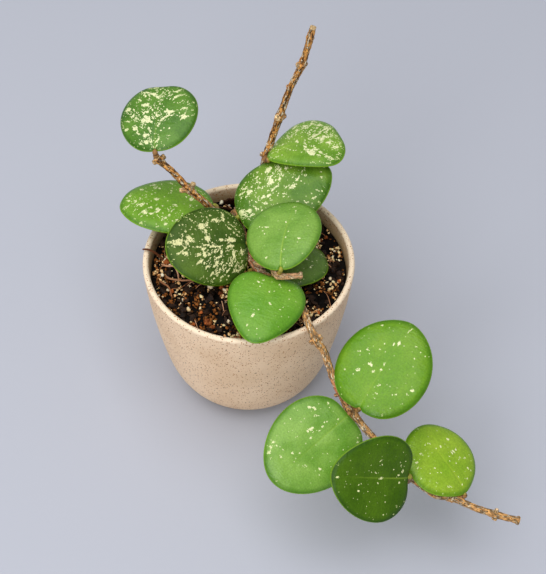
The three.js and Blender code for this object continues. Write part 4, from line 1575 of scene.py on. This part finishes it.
LOOK_LEFT_LOW = LeafLook(
    tone(122, 166, 50), tone(98, 144, 34), 0.33, seed=2.0, rib=0.1,
    marks=(
        (0.62, -0.53, 0.9, 1.1), (0.65, -0.66, 1.3, 0.5, 5), (0.57, -0.5, 0.45, 0.9), (0.77, -0.5, 0.7, 0.8),
        (0.9, -0.3, 0.5, 0.45), (0.46, -0.32, 0.5, 0.5), (0.62, -0.08, 1.4, 0.8), (0.79, 0.07, 1.6, 0.5, 15),
        (0.92, -0.1, 0.45, 0.6), (0.43, 0.15, 0.9, 0.7), (0.57, 0.18, 0.6, 0.5), (0.62, 0.3, 0.9, 0.9),
        (0.63, 0.38, 0.6, 0.5), (0.77, 0.35, 0.8, 1.1), (0.7, 0.43, 0.8, 0.6), (0.57, 0.62, 1.7, 0.5, 40),
        (0.51, 0.5, 0.6, 0.6), (0.56, 0.78, 0.6, 0.6), (0.82, 0.68, 0.9, 0.6), (0.25, -0.07, 1.1, 1.0),
        (0.3, -0.15, 0.5, 0.8), (0.8, -0.12, 0.6, 0.5), (0.69, 0.2, 0.5, 0.5),
    ),
    patches=((0.85, 0.0, 0.14, 0.16), (0.4, -0.1, 0.14, -0.3), (0.45, 0.55, 0.12, 0.12)),
)

LOOK_LEFT_FRONT = LeafLook(
    tone(86, 112, 38), tone(42, 70, 10), 0.4, seed=3.0, rib=0.7, pale=tone(230, 226, 168), vein=tone(40, 66, 18),
    marks=(
        (0.39, -0.6, 1.6, 0.9, -15), (0.29, -0.68, 0.6, 1.8), (0.56, -0.48, 1.2, 1.4), (0.49, -0.55, 0.8, 1.0),
        (0.52, -0.35, 0.6, 0.9), (0.52, -0.17, 1.4, 1.1, 20), (0.86, -0.15, 2.2, 1.3), (0.76, -0.1, 0.7, 1.3),
        (0.71, -0.18, 1.8, 0.8, -45), (0.95, -0.18, 0.8, 0.6), (0.8, -0.3, 0.6, 0.7), (0.8, -0.72, 0.9, 0.5, 40),
        (0.75, -0.4, 0.6, 0.45), (0.63, 0.02, 0.9, 0.6), (0.54, 0.0, 1.3, 0.45), (0.44, 0.05, 1.6, 0.45, -5),
        (0.36, -0.1, 1.2, 0.8), (0.24, -0.08, 2.0, 0.8), (0.58, 0.08, 1.1, 0.45), (0.8, 0.15, 1.2, 0.8),
        (0.88, 0.13, 0.6, 0.5), (0.64, 0.22, 1.1, 0.6), (0.58, 0.2, 0.5, 1.7), (0.65, 0.4, 1.9, 0.55, 34),
        (0.38, 0.2, 0.5, 1.8), (0.25, 0.08, 1.6, 0.5), (0.24, 0.25, 0.5, 1.9), (0.13, 0.25, 0.5, 1.5),
        (0.47, 0.5, 1.7, 0.45, 40), (0.4, 0.6, 1.8, 0.5, 45), (0.52, 0.72, 1.3, 0.5, 45), (0.42, 0.85, 1.4, 0.6, 50),
    ),
    patches=((0.35, 0.55, 0.24, 0.16), (0.82, 0.65, 0.16, -0.5), (0.38, -0.25, 0.09, -0.5), (0.9, -0.75, 0.1, -0.3)),
    shine=DULL,
)

LOOK_BACK_BROAD = LeafLook(
    tone(112, 148, 46), tone(60, 106, 12), 0.34, seed=4.0, rib=0.15,
    marks=(
        (0.06, -0.04, 1.4, 1.6), (0.13, -0.07, 0.9, 0.9), (0.2, -0.1, 0.45, 0.9), (0.14, -0.2, 1.1, 0.5),
        (0.22, 0.4, 1.0, 0.9), (0.12, 0.47, 0.8, 0.45), (0.32, 0.56, 0.6, 0.5), (0.47, 0.73, 1.5, 1.4),
        (0.33, 0.67, 0.8, 0.5), (0.57, 0.62, 0.9, 1.3), (0.64, 0.52, 0.9, 0.8), (0.57, 0.4, 0.5, 0.9),
        (0.53, 0.33, 0.7, 0.6), (0.45, 0.38, 0.6, 1.2, 20), (0.45, 0.17, 1.7, 0.45, 8), (0.62, -0.02, 1.2, 0.9),
        (0.57, 0.05, 1.0, 0.45), (0.68, 0.1, 0.8, 0.5), (0.37, 0.05, 0.9, 0.45), (0.32, 0.08, 0.7, 0.45),
        (0.77, 0.1, 0.6, 0.8), (0.9, -0.13, 0.5, 0.6), (0.75, -0.53, 1.3, 0.45), (0.77, -0.7, 0.5, 1.0),
    ),
    patches=((0.35, 0.4, 0.2, 0.16), (0.75, -0.15, 0.13, -0.3), (0.06, 0.0, 0.1, 0.2)),
)

LOOK_BACK_HIGH = LeafLook(
    tone(134, 172, 60), tone(84, 132, 26), 0.4, seed=5.0, rib=0.1,
    marks=(
        (0.51, -0.53, 1.5, 1.8), (0.58, -0.48, 1.2, 0.5, -58), (0.62, -0.62, 1.1, 0.45, -58), (0.58, -0.74, 0.7, 0.8),
        (0.65, -0.78, 1.3, 0.6, -58), (0.7, -0.88, 1.0, 0.7, -58), (0.57, -0.32, 0.9, 0.4, -50), (0.49, -0.2, 2.4, 0.45, 85),
        (0.46, -0.28, 1.4, 0.4, 80), (0.42, 0.05, 0.8, 0.8), (0.24, 0.19, 1.7, 0.45), (0.17, 0.32, 1.2, 0.5, -10),
        (0.17, 0.03, 0.7, 0.45), (0.35, 0.41, 0.45, 1.6), (0.5, 0.78, 2.1, 0.45, 45), (0.48, 0.57, 0.6, 0.45),
        (0.62, 0.69, 0.8, 1.0, 40), (0.72, 0.68, 0.5, 1.0), (0.81, 0.51, 1.1, 0.9), (0.86, 0.34, 0.5, 1.3, 10),
        (0.67, 0.07, 1.4, 0.5, 20), (0.76, -0.1, 0.9, 0.8), (0.72, -0.17, 0.9, 0.45), (0.7, -0.27, 0.6, 0.45),
        (0.77, -0.35, 1.1, 0.8), (0.83, -0.58, 0.9, 0.7), (0.91, -0.45, 0.7, 0.6), (0.84, -0.8, 0.8, 0.45, -60),
        (0.44, -0.85, 0.5, 0.5),
    ),
    patches=((0.75, 0.3, 0.22, 0.2), (0.25, -0.4, 0.2, -0.3)),
)

LOOK_CENTRE = LeafLook(
    tone(126, 166, 70), tone(94, 140, 44), 0.06, seed=6.0, rib=0.75, bend=-0.35,
    marks=(
        (0.6, 0.43, 0.5, 1.3, -10), (0.61, 0.53, 0.45, 0.5), (0.55, 0.52, 0.45, 0.45), (0.51, 0.46, 0.6, 0.45, -40),
        (0.88, -0.28, 0.5, 0.9, 30), (0.81, -0.33, 0.45, 0.5), (0.17, 0.37, 0.75, 0.4, -35), (0.65, -0.09, 0.4, 0.4),
        (0.54, 0.08, 0.35, 0.35), (0.5, -0.18, 0.35, 0.4), (0.42, -0.11, 0.4, 0.45), (0.22, -0.05, 0.4, 0.45),
        (0.25, -0.1, 0.35, 0.35), (0.39, -0.48, 0.4, 0.55), (0.74, -0.73, 0.4, 0.45),
    ),
)

LOOK_FRONT = LeafLook(
    tone(114, 162, 50), tone(90, 146, 30), 0.08, seed=7.0, rib=0.1,
    marks=(
        (0.69, -0.2, 1.5, 0.6, -23), (0.82, -0.28, 0.8, 0.5), (0.84, 0.0, 0.4, 0.4), (0.23, -0.32, 0.8, 0.4, 67),
        (0.19, -0.2, 0.4, 0.7), (0.2, 0.26, 0.8, 0.6, 30), (0.23, 0.3, 0.4, 0.5), (0.33, 0.04, 1.0, 0.45),
        (0.31, 0.15, 0.4, 0.6, 30), (0.49, 0.15, 0.9, 0.45, 62), (0.53, 0.44, 0.4, 0.45), (0.48, 0.51, 0.4, 0.45),
        (0.33, -0.29, 0.4, 0.4), (0.24, 0.54, 0.4, 0.5), (0.7, -0.56, 0.4, 0.4), (0.6, -0.1, 0.35, 0.35),
    ),
)

LOOK_LOW_RIGHT = LeafLook(
    tone(102, 132, 54), tone(76, 108, 38), 0.16, seed=8.0, rib=0.2,
    marks=(
        (0.71, -0.43, 0.8, 0.5, 30), (0.76, -0.21, 0.45, 0.45), (0.82, -0.2, 0.4, 0.45), (0.92, 0.08, 0.4, 0.4),
        (0.69, -0.1, 0.4, 0.45), (0.44, -0.37, 0.5, 0.5), (0.86, -0.6, 0.5, 0.4), (0.2, -0.3, 0.6, 0.5),
    ),
)

LOOK_TRAIL_UPPER = LeafLook(
    tone(114, 156, 32), tone(90, 142, 12), 0.1, seed=9.0, rib=0.3,
    marks=(
        (0.36, 0.43, 1.1, 1.1), (0.46, 0.27, 0.5, 1.1), (0.41, 0.13, 0.6, 0.6), (0.53, 0.0, 0.8, 0.4),
        (0.46, 0.01, 0.9, 0.45), (0.32, -0.12, 1.0, 0.45, -56), (0.7, 0.24, 0.6, 0.6), (0.63, 0.26, 0.45, 0.5),
        (0.63, 0.14, 0.4, 0.4), (0.64, 0.73, 0.5, 0.55), (0.85, 0.5, 0.5, 0.55), (0.77, -0.02, 1.2, 0.7, 20),
        (0.74, 0.06, 0.9, 0.35), (0.93, -0.07, 1.9, 0.35, -13), (0.82, -0.37, 0.45, 0.6), (0.88, -0.53, 0.5, 0.6),
        (0.71, -0.47, 0.4, 0.45), (0.44, -0.78, 0.75, 0.75), (0.38, -0.72, 0.5, 0.5), (0.33, -0.54, 0.4, 0.4),
        (0.31, -0.47, 0.35, 0.35), (0.2, -0.19, 0.5, 0.5), (0.3, 0.69, 0.45, 0.6), (0.57, 0.49, 0.45, 0.5),
        (0.53, 0.6, 0.4, 0.4), (0.75, 0.72, 0.4, 0.4), (0.1, -0.5, 0.6, 0.4),
    ),
)

LOOK_TRAIL_LOWER = LeafLook(
    tone(132, 172, 74), tone(84, 136, 28), 0.12, seed=10.0, rib=0.35,
    marks=(
        (0.28, -0.69, 0.7, 0.65), (0.25, -0.59, 0.4, 0.8), (0.29, -0.46, 1.0, 0.5, -33), (0.27, -0.4, 0.4, 0.4),
        (0.15, -0.08, 0.55, 0.45), (0.12, -0.48, 0.5, 0.5), (0.31, -0.19, 0.65, 0.45, -40), (0.4, -0.31, 1.0, 0.6),
        (0.44, -0.32, 0.5, 0.5), (0.41, -0.22, 0.4, 0.4), (0.46, -0.17, 0.7, 0.6), (0.55, -0.39, 0.55, 0.6),
        (0.58, -0.58, 0.45, 0.45), (0.49, -0.75, 0.4, 0.5), (0.63, -0.08, 0.6, 0.45, -45), (0.68, -0.19, 0.5, 0.45),
        (0.68, 0.21, 1.0, 0.9), (0.65, 0.13, 0.5, 0.5), (0.58, 0.47, 0.6, 0.7), (0.75, -0.63, 0.9, 0.5, -30),
        (0.8, -0.58, 0.5, 0.8), (0.75, -0.52, 0.4, 0.6), (0.84, -0.53, 0.9, 0.7), (0.79, -0.28, 0.55, 0.45, -45),
        (0.73, -0.38, 0.4, 0.4), (0.87, -0.4, 0.4, 0.4),
    ),
)

LOOK_TRAIL_FOLDED = LeafLook(
    tone(74, 108, 14), tone(54, 88, 4), 0.12, seed=11.0, rib=0.5, pale=tone(236, 236, 178),
    marks=(
        (0.42, 0.0, 0.9, 0.5), (0.21, -0.08, 0.8, 0.5), (0.17, -0.17, 0.5, 1.1), (0.21, -0.3, 0.45, 0.9, 30),
        (0.19, -0.57, 0.4, 0.4), (0.48, -0.42, 0.4, 0.4), (0.56, -0.12, 0.45, 0.4), (0.83, -0.1, 0.45, 0.4),
        (0.95, -0.27, 0.5, 0.8), (0.69, 0.3, 0.75, 0.45), (0.66, 0.13, 0.4, 0.4), (0.69, 0.17, 0.4, 0.4),
        (0.19, 0.1, 0.4, 0.35), (0.2, 0.63, 0.4, 0.4), (0.37, 0.8, 0.6, 0.45, 30), (0.49, 0.87, 0.45, 0.45),
        (0.93, 0.03, 0.6, 0.4),
    ),
    shine=DULL,
)

LOOK_TRAIL_END = LeafLook(
    tone(146, 178, 46), tone(118, 160, 26), 0.14, seed=12.0, rib=0.4, vein=tone(186, 204, 60),
    marks=(
        (0.73, 0.07, 0.9, 0.6, 30), (0.74, 0.19, 0.7, 0.4, -40), (0.67, 0.44, 0.9, 0.55, 30), (0.6, 0.31, 0.4, 0.4),
        (0.62, 0.69, 0.45, 0.6), (0.55, 0.78, 0.4, 0.4), (0.48, -0.33, 1.3, 0.45, -20), (0.47, -0.4, 1.2, 0.4, 10),
        (0.48, -0.5, 0.7, 0.6), (0.37, -0.44, 0.6, 0.45, -50), (0.33, -0.55, 0.45, 0.6), (0.65, -0.5, 0.55, 0.55),
        (0.2, -0.45, 0.6, 0.7), (0.16, -0.5, 0.45, 0.5), (0.17, -0.04, 0.8, 0.4), (0.07, -0.03, 0.45, 0.45),
        (0.1, -0.26, 0.4, 0.5), (0.33, 0.71, 0.5, 0.7), (0.42, 0.86, 0.5, 0.5), (0.43, 0.37, 0.35, 0.4),
        (0.62, -0.16, 0.7, 0.35, -20), (0.26, 0.57, 0.4, 0.45),
    ),
)

LEAVES = (
    Leaf("leaf_left_high", (-34.7, 26.5, 91), (-35.5, 26, 94.5), 86, 12, -13, 31, 30.5, -0.09, 0.6, -1.3,
         LOOK_LEFT_HIGH, nick=0.8, brown=0.8),
    Leaf("leaf_left_low", (-12, 18.3, 69.5), (-13.5, 24, 68.5), 187, 5, 5, 35.5, 30, 0.05, 0.1, 0.7,
         LOOK_LEFT_LOW, brown=0.3),
    Leaf("leaf_left_front", (-1.1, 3.9, 66.5), (0.5, 3, 70), 196, 10, -27, 33, 30.5, 0.12, 1.5, -0.1,
         LOOK_LEFT_FRONT, brown=0.6),
    Leaf("leaf_back_broad", (-3.6, 18.1, 66), (-4.5, 13.5, 73), 19, 20, 12, 39, 31, 0.18, 0.4, 0.5,
         LOOK_BACK_BROAD, brown=0.6),
    Leaf("leaf_back_high", (6.5, 35.9, 82.8), (7.1, 31.8, 86.1), 19, 7, -11, 29.7, 28.7, -0.46, -0.3, -0.8,
         LOOK_BACK_HIGH, brown=1.0),
    Leaf("leaf_centre", (10.6, -17.4, 75.2), (11.5, -18, 79), 86, 6, -15, 31, 28.5, -0.12, 0.1, 0.1,
         LOOK_CENTRE, nick=1.4),
    Leaf("leaf_front", (10.2, -16.4, 75.1), (9.5, -12.5, 72), 256, -5, -5, 32.5, 27.5, 0.32, 2.7, -0.1,
         LOOK_FRONT),
    Leaf("leaf_low_right", (3.1, -7.4, 67.4), (2, -4.6, 64.2), 15, -5, -8, 29, 26, 0, -1, -0.5, LOOK_LOW_RIGHT),
    Leaf("leaf_trail_upper", (38.2, -56.8, 48.4), (39, -62, 51.5), 55, 23, 2, 38.5, 35, 0.05, 1.3, 0.4,
         LOOK_TRAIL_UPPER, nick=0.9, brown=0.9, stout=0.85),
    Leaf("leaf_trail_lower", (36.4, -57.8, 46.8), (37.5, -60, 49.5), 218, -18, -30, 38.5, 33, 0.11, 1.6, 0,
         LOOK_TRAIL_LOWER, brown=0.9, stout=0.85),
    Leaf("leaf_trail_folded", (57.6, -81, 36.6), (58.6, -84.1, 43.2), 193, 21, -52, 32.5, 31.5, 0.12, 1.5, 0,
         LOOK_TRAIL_FOLDED, fold=0.32, brown=0.8),
    Leaf("leaf_trail_end", (74, -84.8, 31), (78.1, -82.8, 32.8), 128, 18, 9, 28.5, 28.5, 0.05, -1.1, 0,
         LOOK_TRAIL_END, brown=0.9, stout=0.7),
)


# The studio


@dataclass
class Studio:
    """The camera, the pale floor and the soft lights."""

    rim_height: float = 64.0
    distance: float = 650.0
    elevation: float = 49.31
    yaw: float = 1.263
    dip: float = -0.916
    roll: float = -1.285
    focal_pixels: float = 1721.6
    long_side: int = 574
    sensor: float = 36.0
    floor: Colour = tone(183, 186, 197)
    aim: Point = (0.02, -0.02, 0.05)

    def camera(self) -> None:
        """Sets the camera where the photograph was taken from."""
        climb = math.radians(self.elevation)
        ahead = Vector((0, math.cos(climb), -math.sin(climb)))
        turn = Matrix.Rotation(-math.radians(self.yaw), 3, "Z")
        ahead, right = turn @ ahead, turn @ Vector((1, 0, 0))
        ahead = Quaternion(right, math.radians(self.dip)) @ ahead
        up = right.cross(ahead)
        twist = Quaternion(ahead, math.radians(self.roll))
        right, up = twist @ right, twist @ up
        lens = bpy.data.cameras.new("camera")
        lens.sensor_width = self.sensor
        lens.lens = self.focal_pixels * self.sensor / self.long_side
        lens.clip_start, lens.clip_end = 0.01, 20
        camera = bpy.data.objects.new("camera", lens)
        bpy.context.scene.collection.objects.link(camera)
        height = self.rim_height + self.distance * math.sin(climb)
        camera.matrix_world = Matrix.Translation(
            Vector((0, -self.distance * math.cos(climb), height)) * MM
        ) @ Matrix((right, up, -ahead)).transposed().to_4x4()
        bpy.context.scene.camera = camera

    def lamp(self, name: str, at: Point, size: float, power: float) -> None:
        """Hangs a square soft light that shines at the plant.

        Args:
            name: the light's name.
            at: its place, in metres.
            size: the length of its side, in metres.
            power: its power, in watts.
        """
        light = bpy.data.lights.new(name, "AREA")
        light.size = size
        light.energy = power
        lamp = bpy.data.objects.new(name, light)
        lamp.location = at
        lamp.rotation_euler = (Vector(self.aim) - Vector(at)).to_track_quat("-Z", "Y").to_euler()
        bpy.context.scene.collection.objects.link(lamp)

    def ground(self) -> None:
        """Lays the pale floor."""
        rest_selection()
        bpy.ops.mesh.primitive_plane_add(size=8, location=(0, 0, 0))
        floor = named("studio_floor")
        material, graph = Finish.material("pale_floor")
        shader = graph.add("ShaderNodeBsdfPrincipled", {"Base Color": self.floor, "Roughness": 0.9,
                                                        "Specular IOR Level": 0.1})
        graph.add("ShaderNodeOutputMaterial", {"Surface": shader.outputs[0]})
        floor.data.materials.append(material)

    def build(self) -> None:
        """Builds the whole studio."""
        self.camera()
        self.ground()
        self.lamp("overhead", (-0.2, -0.12, 1.05), 1.15, 9.0)
        self.lamp("front", (-0.4, -0.9, 0.6), 0.5, 4.0)
        world = bpy.data.worlds.new("studio")
        bpy.context.scene.world = world
        world.use_nodes = True
        world.node_tree.nodes["Background"].inputs[0].default_value = (0.98, 0.99, 1.0, 1)
        world.node_tree.nodes["Background"].inputs[1].default_value = 0.44
        bpy.context.scene.view_settings.view_transform = "Standard"


def main() -> None:
    """Builds the studio and every piece of the plant."""
    logging.basicConfig(level=logging.INFO, format="%(name)s %(message)s")
    Studio().build()
    Pot().build()
    PottingMix().build()
    bark = BarkFinish().build()
    for stem in (LEFT_STEM, BACK_STEM, TRAILING_STEM):
        stem.build(bark)
    stalk_skin = StalkFinish().build()
    for leaf in LEAVES:
        leaf.build(stalk_skin)
    rest_selection()


if __name__ == "__main__":
    main()
